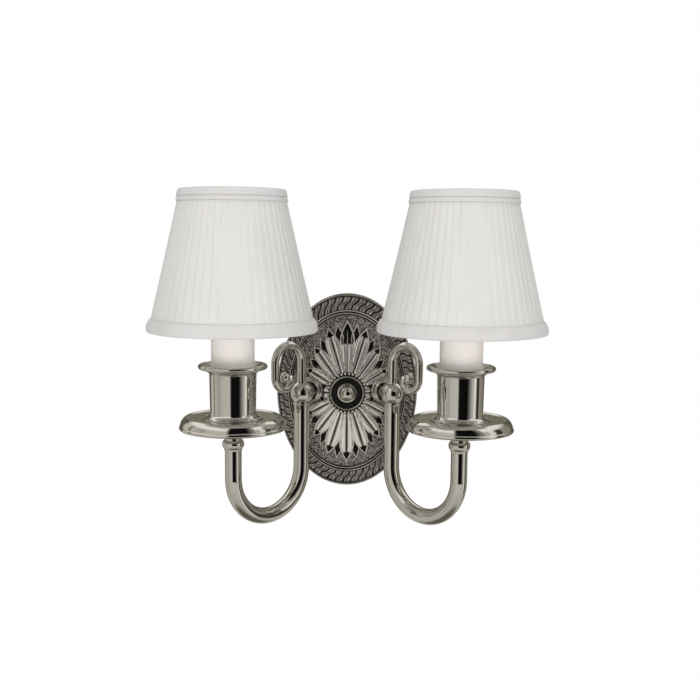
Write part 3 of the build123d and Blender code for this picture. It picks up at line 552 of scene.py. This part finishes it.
zinc = plain_metal("zinc_plate", (0.66, 0.67, 0.66), (0.50, 0.51, 0.52), 0.34, (1, 1, 0.05))
green_screw = plain_metal("green_zinc", (0.04, 0.36, 0.13), (0.02, 0.22, 0.08), 0.3, (1, 1, 1))
carried_over = {"crossbar": zinc, "crossbar_nut": zinc, "centre_nipple": zinc, "arm_lock_nuts": zinc,
                "ground_screw": green_screw}


def dress(node, material):
    """Give a solid that is shown as it is its finish."""
    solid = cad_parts[node]
    solid.data.materials.clear()
    solid.data.materials.append(material)
    solid.data.shade_smooth()
    solid.data.set_sharp_from_angle(angle=radians(30))


for node, material in carried_over.items():
    dress(node, material)

# ---------------------------------------------------------------- arms
# Seamless brass tube bent into a U in a plane turned outward from the wall, soldered into a
# round knuckle. A tapered bar curls up from the knuckle to a small eye. All polished nickel.

arm_span, tube_foot_z, bend_z, tube_top_z = 68.2, -1.5, -56.0, -34.5
tube_radius, knuckle_radius = 6.2, 9.3
scroll_foot_z, scroll_thick, scroll_thin = 8.6, 3.7, 2.6
crown_z, crown_radius, hook_radius, curl_radius = 26.2, 13.7, 10.0, 6.0
hook_z, eye_radius, eye_rise = crown_z - 10.6, 4.1, 3.6
both_sides = ((1, "right"), (-1, "left"))
straight_up = (0, 0, 1)


def in_arm_plane(side, u, z, aside=0.0):
    """A point of an arm's plane: u along it from the knuckle, aside square to it."""
    half = sqrt(0.5)
    return (side * (knuckle_at[0] + (u - aside) * half), knuckle_at[1] - (u + aside) * half, z)


def drawn(side, line, radii, sides=48):
    """Rings of a bar that follows a line in the arm's plane, closed at both ends."""
    rings = [[in_arm_plane(side, *line[0])]]
    for number, ((u, z), radius) in enumerate(zip(line, radii)):
        before, after = line[max(0, number - 1)], line[min(len(line) - 1, number + 1)]
        run = hypot(after[0] - before[0], after[1] - before[1])
        along = ((after[0] - before[0]) / run, (after[1] - before[1]) / run)
        ring = []
        for k in range(sides):
            out, aside = radius * cos(2 * pi * k / sides), radius * sin(2 * pi * k / sides)
            ring.append(in_arm_plane(side, u + out * along[1], z - out * along[0], aside))
        rings.append(ring)
    return rings + [[in_arm_plane(side, *line[-1])]]


def arc_line(centre, radius, start, sweep, steps):
    """Points of an arc in the arm's plane, angles in degrees from its outward axis."""
    return [(centre[0] + radius * cos(radians(start + sweep * k / steps)),
             centre[1] + radius * sin(radians(start + sweep * k / steps))) for k in range(1, steps + 1)]


arm_line = [(0.0, tube_foot_z + (bend_z - tube_foot_z) * k / 6) for k in range(7)]
arm_line += arc_line((arm_span / 2, bend_z), arm_span / 2, 180, 180, 48)
arm_line += [(arm_span, bend_z + (tube_top_z - bend_z) * k / 4) for k in range(1, 5)]

hook_u = 2 * crown_radius - hook_radius
curl_z = hook_z - hook_radius + curl_radius
scroll_line = [(0.0, scroll_foot_z + (crown_z - scroll_foot_z) * k / 8) for k in range(9)]
scroll_line += arc_line((crown_radius, crown_z), crown_radius, 180, -180, 36)
scroll_line += [(2 * crown_radius, crown_z + (hook_z - crown_z) * k / 5) for k in range(1, 6)]
scroll_line += arc_line((hook_u, hook_z), hook_radius, 0, -90, 18)
scroll_line += arc_line((hook_u, curl_z), curl_radius, -90, -90, 14)
scroll_line += arc_line((hook_u - 0.4 * curl_radius, curl_z), 0.6 * curl_radius, 180, -50, 8)
scroll_runs = [0.0]
for here, after in zip(scroll_line, scroll_line[1:]):
    scroll_runs.append(scroll_runs[-1] + hypot(after[0] - here[0], after[1] - here[1]))
scroll_radii = [scroll_thick + (scroll_thin - scroll_thick) * run / scroll_runs[-1] + 1.1 * exp(-run / 1.6)
                for run in scroll_runs]                  # it swells where it is soldered on

ball_outline = curve((0.0, knuckle_radius), (knuckle_radius, 0.0), (0.0, -knuckle_radius), 40)
mouth_outline = softened([(6.25, -8.9), (6.9, -8.9), (7.25, -8.3), (7.1, -7.0), (5.0, -6.5)], 0.25)
stub_outline = softened([(0.0, 6.0), (6.2, 6.0), (6.2, 14.5), (0.0, 14.5)], 0.2)
collar_outline = softened([(6.3, 13.7), (6.3, 14.55), (9.3, 14.55), (9.3, 13.3),
                           *curve((9.1, 12.9), (8.3, 11.85), (7.4, 12.6), 8)], 0.15, closed=True)
eye_outline = curve((0.0, eye_radius), (eye_radius, 0.0), (0.0, -eye_radius), 24)
for side, word in both_sides:
    foot, lean = mirrored(side, knuckle_at), mirrored(side, stub_lean)
    fit(skin(f"{word}_bent_tube", [drawn(side, arm_line, [tube_radius] * len(arm_line))]),
        polished_nickel, "root", "polished_nickel", f"{word}_arm_tube")
    knuckle = [turned(ball_outline, foot, straight_up), turned(mouth_outline, foot, straight_up, closed=True),
               turned(stub_outline, foot, lean)]
    fit(skin(f"{word}_knuckle", knuckle), polished_nickel, "root", "polished_nickel", f"{word}_arm_ball")
    fit(skin(f"{word}_turned_collar", [turned(collar_outline, foot, lean, closed=True)]),
        polished_nickel, "root", "polished_nickel", f"{word}_arm_collar")
    eye = turned(eye_outline, in_arm_plane(side, hook_u, curl_z + eye_rise), straight_up, 48)
    fit(skin(f"{word}_scroll", [drawn(side, scroll_line, scroll_radii, 40), eye]),
        polished_nickel, "root", "polished_nickel", f"{word}_arm_scroll")
    dress(f"{word}_arm_nipple", zinc)

# ---------------------------------------------------------------- bead, drip pan and candle cup
# Turned and spun brass, polished and nickel plated: a bead and neck on the tube's end, a wide
# saucer with a rolled lip, and a cup with a flared mouth. One nipple clamps the three together.

candle_at = {"right": (83.825, -77.225, 0.0), "left": (-83.825, -77.225, 0.0)}    # their axes
bead_outline = [(5.0, -34.5), (6.5, -34.5), (6.7, -33.1),
                *curve((6.75, -33.0), (8.1, -30.0), (6.9, -26.4), 10),
                (6.4, -26.9), (6.1, -27.3), (6.1, -25.1),
                *curve((5.9, -24.6), (5.6, -20.4), (6.2, -14.2), 8),
                (9.0, -12.6), (9.2, -12.0), (9.0, -11.0), (5.0, -11.0)]
pan_outline = [(5.0, -10.0), (19.4, -10.0), (26.0, -9.9), (32.2, -9.6), (32.9, -9.3),
               *curve((33.1, -9.2), (34.6, -8.75), (35.7, -9.3), 8),
               *curve((35.9, -9.5), (37.9, -11.9), (38.9, -14.9), 12), (38.8, -15.2),
               *curve((39.0, -15.4), (39.6, -16.7), (38.6, -18.1), 10),
               (37.8, -17.9), (34.9, -10.8), (33.4, -10.3), (19.4, -11.0), (5.0, -11.0)]
cup_outline = [(5.0, -9.95), (22.4, -9.95), (22.9, -9.7),
               *curve((22.6, -9.35), (18.6, -8.3), (16.95, -5.4), 14),
               (16.85, -4.8), (17.35, 22.9), *curve((17.45, 23.1), (20.2, 25.3), (24.0, 26.4), 12),
               *curve((24.2, 26.5), (25.5, 28.4), (24.1, 30.1), 10),
               *curve((23.2, 30.2), (19.4, 28.2), (16.25, 24.4), 10),
               (16.2, -9.0), (5.0, -9.0)]

for word, candle in candle_at.items():
    for name, outline, sides, node in (("neck_turning", bead_outline, 96, "neck_bead"),
                                       ("saucer", pan_outline, 192, "drip_pan"),
                                       ("cup_turning", cup_outline, 128, "candle_cup")):
        rings = turned(softened(outline, 0.22, closed=True), candle, straight_up, sides, closed=True)
        fit(skin(f"{word}_{name}", [rings]), polished_nickel, "root", "polished_nickel", f"{word}_{node}")
    dress(f"{word}_cup_nipple", zinc)

# ---------------------------------------------------------------- candle sleeve and socket
# A plain satin white sleeve slips over the lamp socket, which is black phenolic with a brass
# screw shell and contact, riveted to a zinc plated steel bracket on the cup's nipple.

sleeve_white, sleeve_tree, sleeve_shader = finish_of("sleeve_white", 0.0, 0.5)
vary(sleeve_tree, sleeve_shader, "Base Color", (30.0, 4.0),
     (0.3, (0.88, 0.83, 0.795)), (0.7, (0.92, 0.875, 0.845)))
vary(sleeve_tree, sleeve_shader, "Roughness", (160.0, 3.0), (0.3, 0.42), (0.7, 0.58))
sleeve_shader.inputs["Subsurface Weight"].default_value = 0.15
sleeve_shader.inputs["Subsurface Radius"].default_value = (0.004, 0.003, 0.002)
relief(sleeve_tree, sleeve_shader, grain(sleeve_tree, 700.0, 2.0), 0.00003, 0.3)

phenolic, phenolic_tree, phenolic_shader = finish_of("black_phenolic", 0.0, 0.4)
vary(phenolic_tree, phenolic_shader, "Base Color", (300.0,), (0.3, 0.018), (0.8, 0.04))
brass = plain_metal("socket_brass", (0.80, 0.60, 0.27), (0.66, 0.46, 0.18), 0.24, (1, 1, 0.1))

sleeve_outline = softened([(15.875, -9.0), (15.875, 79.9), (14.775, 79.9), (14.775, -9.0)], 0.35, closed=True)
for word, candle in candle_at.items():
    fit(skin(f"{word}_sleeve_tube", [turned(sleeve_outline, candle, straight_up, closed=True)]),
        sleeve_white, "root", "sleeve_white", f"{word}_candle_sleeve")
    dress(f"{word}_socket_bracket", zinc)
    dress(f"{word}_socket_body", phenolic)
    dress(f"{word}_socket_shell", brass)
    dress(f"{word}_socket_contact", brass)

# ---------------------------------------------------------------- globe bulb
# A round frosted glass bulb on a medium screw base of thin aluminium with a rolled thread.
# It screws into the socket, so glass and base turn together.

frosted, frosted_tree, frosted_shader = finish_of("frosted_glass", 0.0, 0.32)
vary(frosted_tree, frosted_shader, "Base Color", (40.0,),
     (0.3, (0.84, 0.84, 0.83)), (0.7, (0.89, 0.89, 0.88)))
frosted_shader.inputs["Transmission Weight"].default_value = 0.25
frosted_shader.inputs["Coat Weight"].default_value = 0.5
frosted_shader.inputs["Coat Roughness"].default_value = 0.06
relief(frosted_tree, frosted_shader, grain(frosted_tree, 1800.0, 2.0), 0.00001, 0.3)
base_metal = plain_metal("bulb_aluminium", (0.80, 0.79, 0.77), (0.68, 0.67, 0.66), 0.28, (1, 1, 1))

globe_outline = [(12.1, 69.1), (12.1, 84.16), *curve((12.1, 84.16), (26.2, 107.4), (0.0, 133.6), 56),
                 *curve((0.0, 132.8), (25.4, 107.4), (11.3, 84.65), 40), (11.3, 69.1), (12.1, 69.1)]
tip_outline = softened([(0.0, 54.6), (4.0, 54.6), (4.6, 55.3), (9.75, 57.8), (12.3, 59.4)], 0.3)
base_inside = [(12.1, 81.1), (11.9, 60.4), (0.0, 60.4)]
thread_foot, thread_top, thread_radius, thread_pitch = 59.4, 81.1, 12.45, 3.63    # seven to the inch


def about(candle, radius, turn, z):
    """A point so far from the middle of a candle, at a turn in radians and a height."""
    return candle[0] + radius * cos(turn), candle[1] + radius * sin(turn), z


for word, candle in candle_at.items():
    fit(skin(f"{word}_globe", [turned(globe_outline, candle, straight_up)]),
        frosted, f"{word}_bulb", "bulb_glass", f"{word}_bulb_glass")
    base = turned(tip_outline, candle, straight_up, 64)
    for step in range(61):                               # rolled thread, flat at both ends
        z = thread_foot + (thread_top - thread_foot) * step / 60
        wave = 0.5 * eased(step, 0, 6) * (1 - eased(step, 54, 60))
        base.append([about(candle, thread_radius + wave * cos(2 * pi * (z / thread_pitch - k / 64)),
                           2 * pi * k / 64, z) for k in range(64)])
    base += turned(base_inside, candle, straight_up, 64)
    fit(skin(f"{word}_screw_base", [base]), base_metal, f"{word}_bulb", "bulb_metal", f"{word}_bulb_base")

# ---------------------------------------------------------------- clip and shade frame
# Two crossed spring hoops press on the globe and carry a saddle with two ears. The shade's
# hub tilts on a pin between them; three spokes, two rings and six ribs hold the cover.

clip_wire = plain_metal("brassed_wire", (0.76, 0.66, 0.42), (0.60, 0.50, 0.30), 0.25, (1, 1, 0.2))
frame_wire = plain_metal("pale_coated_wire", (0.80, 0.78, 0.70), (0.70, 0.67, 0.58), 0.36, (1, 1, 0.2))
for word in ("right", "left"):
    dress(f"{word}_shade_clip", clip_wire)
    dress(f"{word}_clip_pin", clip_wire)
    dress(f"{word}_shade_frame", frame_wire)
    dress(f"{word}_shade_spider", frame_wire)

# ---------------------------------------------------------------- pleated shade
# Off-white cloth laid in fifty-four knife pleats over the frame and a smooth white lining,
# with a folded band sewn over the top edge and a puffed band round the bottom one.

pleats, pleat_steps, fold_height, cover_rows = 54, 12, 0.48, 24
cover_top, cover_bottom, top_radius = 156.3, 55.1, 38.0
cone_taper = 23.2 / 101.2                                # growth of the radius for each mm down


def cone_radius(z):
    """Outer radius of the shade at a height."""
    return top_radius + cone_taper * (cover_top - z)


def by_cone(height, offset, z):
    """A point of a band's outline: offset out from the shade's radius at a height, drawn at z."""
    return cone_radius(height) + offset, z


def pleat_height(turn):
    """Fold of the cloth over its ground, 0 to 1: steep up to the fold, then a long fall."""
    t = turn % 1.0
    return eased(t, 0.0, 0.10) if t < 0.10 else (1 - (t - 0.10) / 0.90) ** 0.8


def cloth(name, colour, dark, weave, crease):
    """Plain woven cloth: fine crossed threads, a little slub and a soft sheen."""
    material, tree, shader = finish_of(name, 0.0, 0.85)
    vary(tree, shader, "Base Color", (55.0, 6.0, (1, 1, 0.3)), (0.3, dark), (0.7, colour))
    shader.inputs["Sheen Weight"].default_value = 0.12
    shader.inputs["Sheen Roughness"].default_value = 0.5
    place = tree.nodes.new("ShaderNodeTexCoord")
    threads = []
    for direction in ("X", "Z"):
        wave = tree.nodes.new("ShaderNodeTexWave")
        wave.bands_direction = direction
        wave.inputs["Scale"].default_value = weave
        wave.inputs["Distortion"].default_value = 0.6
        tree.links.new(place.outputs["Object"], wave.inputs["Vector"])
        threads.append(wave.outputs["Fac"])
    crossed = worked(tree, "ADD", *threads)
    slub = worked(tree, "MULTIPLY_ADD", grain(tree, crease, 4.0, (1, 1, 0.25)), 3.0, crossed)
    relief(tree, shader, slub, 0.00005, 0.5)
    return material


shade_cloth = cloth("shade_cloth", (0.60, 0.595, 0.58), (0.565, 0.56, 0.545), 420.0, 70.0)
trim_cloth = cloth("trim_cloth", (0.565, 0.56, 0.56), (0.53, 0.52, 0.515), 420.0, 160.0)
lining, lining_tree, lining_shader = finish_of("smooth_lining", 0.0, 0.55)
vary(lining_tree, lining_shader, "Base Color", (25.0,), (0.3, (0.80, 0.785, 0.76)), (0.7, (0.85, 0.84, 0.82)))
relief(lining_tree, lining_shader, grain(lining_tree, 350.0), 0.00004, 0.3)

top_band = [by_cone(148.0, -0.6, 148.0), by_cone(148.0, 0.35, 148.1),
            *curve(by_cone(148.3, 0.55, 148.4), by_cone(149.8, 0.75, 149.8), by_cone(151.2, 0.45, 151.2), 5),
            by_cone(151.5, 0.05, 151.5), by_cone(151.7, 0.75, 151.8),
            *curve(by_cone(152.0, 1.0, 152.1), by_cone(154.5, 1.15, 154.5), by_cone(156.2, 0.8, 156.4), 6),
            *curve(by_cone(156.3, 0.4, 156.8), by_cone(156.3, -1.6, 157.15), by_cone(156.3, -3.8, 156.7), 6),
            by_cone(156.3, -4.2, 155.6), by_cone(156.3, -3.7, 154.6), by_cone(156.3, -0.9, 155.8)]
bottom_band = [by_cone(63.8, -0.5, 63.6), by_cone(63.8, 0.3, 63.8),
               *curve(by_cone(63.5, 0.55, 63.5), by_cone(58.9, 1.9, 58.6), by_cone(55.1, 1.0, 55.1), 12),
               *curve(by_cone(55.1, 0.8, 54.7), by_cone(55.1, -1.8, 54.05), by_cone(55.1, -3.7, 54.5), 8),
               by_cone(55.1, -4.3, 55.8), by_cone(55.1, -3.75, 57.2), by_cone(55.1, -0.9, 55.8)]

for side, word in both_sides:
    candle, cover_rings = candle_at[word], []
    turns = [2 * pi * k / (pleats * pleat_steps) for k in range(pleats * pleat_steps)]
    for row in range(cover_rows + 1):
        z = cover_bottom + (cover_top - cover_bottom) * row / cover_rows
        slack = sin(pi * row / cover_rows)               # none where the cloth is sewn on
        ring = []
        for k, turn in enumerate(turns):
            pleat = k / pleat_steps
            wander = 0.05 * sin(1.7 * pleat + 0.19 * row) + 0.04 * sin(2.9 * pleat - 0.13 * row + side)
            fold = fold_height * pleat_height(pleat + wander * slack)
            ring.append(about(candle, cone_radius(z) - 0.62 - 0.25 * slack + fold, turn, z))
        cover_rings.append(ring)
    for z in (cover_top, cover_bottom):
        cover_rings.append([about(candle, cone_radius(z) - 0.85, turn, z) for turn in turns])
    fit(skin(f"{word}_pleated_cover", [cover_rings + [cover_rings[0]]], cushion=60),
        shade_cloth, f"{word}_shade", "shade_fabric", f"{word}_shade_cover")
    dress(f"{word}_shade_liner", lining)
    for name, outline, node in (("top_band", top_band, "shade_top_trim"),
                                ("bottom_band", bottom_band, "shade_bottom_trim")):
        band_rings = []
        smooth = softened(outline, 0.2, closed=True, steps=2)
        for ring in turned(smooth, candle, straight_up, 360, closed=True):
            pucker = []
            for k, (x, y, z) in enumerate(ring):
                swell = 0.0012 * (sin(0.61 * k) + 0.8 * sin(0.23 * k + 1.3) + 0.6 * sin(1.37 * k + side))
                pucker.append((candle[0] + (x - candle[0]) * (1 + swell),
                               candle[1] + (y - candle[1]) * (1 + swell), z))
            band_rings.append(pucker)
        fit(skin(f"{word}_{name}", [band_rings], cushion=60), trim_cloth, f"{word}_shade", "shade_trim",
            f"{word}_{node}")

# ---------------------------------------------------------------- floor, light and camera
# The light hangs free before a plain white ground, over a pale floor. A tent of grey panels
# with a dark gap by the camera stands round it, and shows only in reflections.

floor_sheet = bpy.data.meshes.new("studio_floor")
floor_sheet.from_pydata([(-6, -6, -1.1), (6, -6, -1.1), (6, 6, -1.1), (-6, 6, -1.1)], [], [(0, 1, 2, 3)])
floor = bpy.data.objects.new("studio_floor", floor_sheet)
bpy.context.scene.collection.objects.link(floor)


def seen_as_white(tree, beneath, output):
    """White to the camera and in metal and glass, and the shader beneath to all other light."""
    path = tree.nodes.new("ShaderNodeLightPath")
    total = path.outputs["Is Camera Ray"]
    for also in ("Is Glossy Ray", "Is Transmission Ray"):
        total = worked(tree, "MAXIMUM", total, path.outputs[also])
    white = tree.nodes.new("ShaderNodeBackground" if output == "World" else "ShaderNodeEmission")
    white.inputs["Color"].default_value = (1, 1, 1, 1)
    white.inputs["Strength"].default_value = 1.0
    mix = tree.nodes.new("ShaderNodeMixShader")
    tree.links.new(total, mix.inputs["Fac"])
    tree.links.new(beneath.outputs[0], mix.inputs[1])
    tree.links.new(white.outputs[0], mix.inputs[2])
    tree.links.new(mix.outputs[0], tree.nodes[f"{output} Output"].inputs["Surface"])


floor_pale, floor_tree, floor_shader = finish_of("floor_pale", 0.0, 0.8)
floor_shader.inputs["Base Color"].default_value = (0.85, 0.85, 0.85, 1)
seen_as_white(floor_tree, floor_shader, "Material")
floor_sheet.materials.append(floor_pale)

world = bpy.data.worlds.new("studio")
bpy.context.scene.world = world
world.use_nodes = True
ambient = world.node_tree.nodes["Background"]
ambient.inputs["Color"].default_value = (1.0, 0.995, 0.985, 1)
ambient.inputs["Strength"].default_value = 0.66
seen_as_white(world.node_tree, ambient, "World")


def panel_wall(name, radius, from_turn, to_turn, from_rise, to_rise):
    """A curved wall of the tent round the light; turns are degrees right of the camera."""
    across, upward = 72, 36
    points, faces = [], []
    for row in range(upward + 1):
        rise = radians(from_rise + (to_rise - from_rise) * row / upward)
        for column in range(across + 1):
            turn = radians(from_turn + (to_turn - from_turn) * column / across)
            points.append((radius * cos(rise) * sin(turn), -radius * cos(rise) * cos(turn) - 0.05,
                           radius * sin(rise)))
    for row in range(upward):
        for column in range(across):
            a = row * (across + 1) + column
            faces.append((a, a + 1, a + across + 2, a + across + 1))
    mesh = bpy.data.meshes.new(name)
    mesh.from_pydata(points, [], faces)
    mesh.shade_smooth()
    wall = bpy.data.objects.new(name, mesh)
    bpy.context.scene.collection.objects.link(wall)
    wall.visible_camera = wall.visible_diffuse = wall.visible_shadow = wall.visible_transmission = False
    return wall


def glowing(name):
    """A material that only glows, its tree, the socket of its colour, and how far round the
    object a place lies: 0.25 on the camera's side, and 1 more for a full turn."""
    material = bpy.data.materials.new(name)
    material.use_nodes = True
    tree = material.node_tree
    tree.nodes.remove(tree.nodes["Principled BSDF"])
    glow = tree.nodes.new("ShaderNodeEmission")
    place = tree.nodes.new("ShaderNodeTexCoord")
    turn = tree.nodes.new("ShaderNodeTexGradient")
    turn.gradient_type = "RADIAL"
    tree.links.new(place.outputs["Object"], turn.inputs["Vector"])
    tree.links.new(glow.outputs[0], tree.nodes["Material Output"].inputs["Surface"])
    return material, tree, glow.inputs["Color"], turn.outputs["Fac"]


def by_turn(stops):
    """Ramp stops from (degrees right of the camera, colour) pairs."""
    return [(0.25 + degree / 360, colour) for degree, colour in stops]


tent_material, tent_tree, tent_colour, tent_turn = glowing("tent_panels")
panel_greys = [(-90, (0.60, 0.575, 0.53)), (-60, (0.46, 0.435, 0.39)), (-50, (0.60, 0.575, 0.53)),
               (-14, (0.66, 0.635, 0.595)), (40, (0.64, 0.615, 0.575)), (58, (0.52, 0.495, 0.45)),
               (62, (0.95, 0.93, 0.88)), (72, (0.85, 0.82, 0.77)), (76, (0.05, 0.045, 0.035)),
               (90, (0.05, 0.045, 0.035)), (93, (0.36, 0.34, 0.28)), (122, (0.27, 0.255, 0.21)),
               (130, (0.12, 0.115, 0.09)), (158, (0.14, 0.135, 0.105)), (172, (0.235, 0.22, 0.175)),
               (190, (0.235, 0.22, 0.175)), (204, (0.14, 0.135, 0.105)), (236, (0.13, 0.12, 0.095)),
               (242, (0.62, 0.59, 0.54)), (262, (0.60, 0.57, 0.52)), (264, (0.20, 0.19, 0.15)),
               (268, (0.24, 0.22, 0.18))]
side_colour = graded(tent_tree, tent_turn, by_turn(panel_greys), None)
tent_place = tent_tree.nodes.new("ShaderNodeTexCoord")
split = tent_tree.nodes.new("ShaderNodeSeparateXYZ")
tent_tree.links.new(tent_place.outputs["Object"], split.inputs[0])
rise_share = tent_tree.nodes.new("ShaderNodeMapRange")
rise_share.inputs["From Min"].default_value = -1.0
rise_share.inputs["From Max"].default_value = 1.0
tent_tree.links.new(split.outputs["Z"], rise_share.inputs["Value"])
cap_stops = [(0.0, 1.0), (0.15, 1.0), (0.27, 0.0), (0.70, 0.0), (0.80, 1.0), (1.0, 1.0)]
cap_greys = [(0.0, (0.13, 0.125, 0.10)), (0.04, (0.16, 0.15, 0.12)), (0.10, (0.52, 0.50, 0.45)),
             (0.50, (0.64, 0.62, 0.57)), (0.76, (1.05, 1.02, 0.97)), (0.88, (1.02, 0.99, 0.93)),
             (0.93, (0.30, 0.28, 0.235)), (1.0, (0.26, 0.24, 0.20))]
top_share = graded(tent_tree, rise_share.outputs[0], cap_stops, None)
top_colour = graded(tent_tree, rise_share.outputs[0], cap_greys, None)
tent_mix = tent_tree.nodes.new("ShaderNodeMix")
tent_mix.data_type = "RGBA"
tent_tree.links.new(top_share, tent_mix.inputs[0])
tent_tree.links.new(side_colour, tent_mix.inputs[6])
tent_tree.links.new(top_colour, tent_mix.inputs[7])
tent_tree.links.new(tent_mix.outputs[2], tent_colour)
tent = panel_wall("tent_wall", 1.0, -180, 180, -89.9, 89.9)
tent.data.materials.append(tent_material)

gap_material, gap_tree, gap_colour, gap_turn = glowing("dark_gap")
gap_greys = [(-14, 0.60), (-7, 0.006), (30, 0.004), (36, 0.10), (52, 0.45)]
graded(gap_tree, gap_turn, by_turn(gap_greys), gap_colour)
gap = panel_wall("dark_gap", 0.96, -14, 52, -20, 58)
gap.data.materials.append(gap_material)

for name, spot, size, power in (("key_lamp", (-0.9, -1.3, 1.2), 1.1, 9.0),
                                ("fill_lamp", (1.2, -1.2, 0.5), 1.2, 5.0),
                                ("top_lamp", (0.0, -0.3, 1.5), 1.0, 5.0),
                                ("low_lamp", (0.0, -1.3, -0.6), 0.9, 9.0)):
    lamp_data = bpy.data.lights.new(name, "AREA")
    lamp_data.size = size
    lamp_data.energy = power
    lamp_data.color = (1.0, 0.985, 0.96)
    lamp = bpy.data.objects.new(name, lamp_data)
    lamp.location = spot
    lamp.rotation_mode = "QUATERNION"
    lamp.rotation_quaternion = (Vector((0, -0.05, 0.05)) - Vector(spot)).to_track_quat("-Z", "Y")
    lamp.visible_glossy = False
    bpy.context.scene.collection.objects.link(lamp)

camera_data = bpy.data.cameras.new("camera")
camera_data.lens = 36.0 * 1000 / 700
camera_data.sensor_width = 36.0
camera = bpy.data.objects.new("camera", camera_data)
camera_tilt = Matrix.Rotation(radians(90 - 6.4), 4, "X") @ Matrix.Rotation(radians(0.5), 4, "Z")
camera.matrix_world = Matrix.Translation((0.0021, -0.806, 0.1228)) @ camera_tilt
bpy.context.scene.collection.objects.link(camera)
bpy.context.scene.camera = camera
bpy.context.scene.view_settings.view_transform = "Standard"
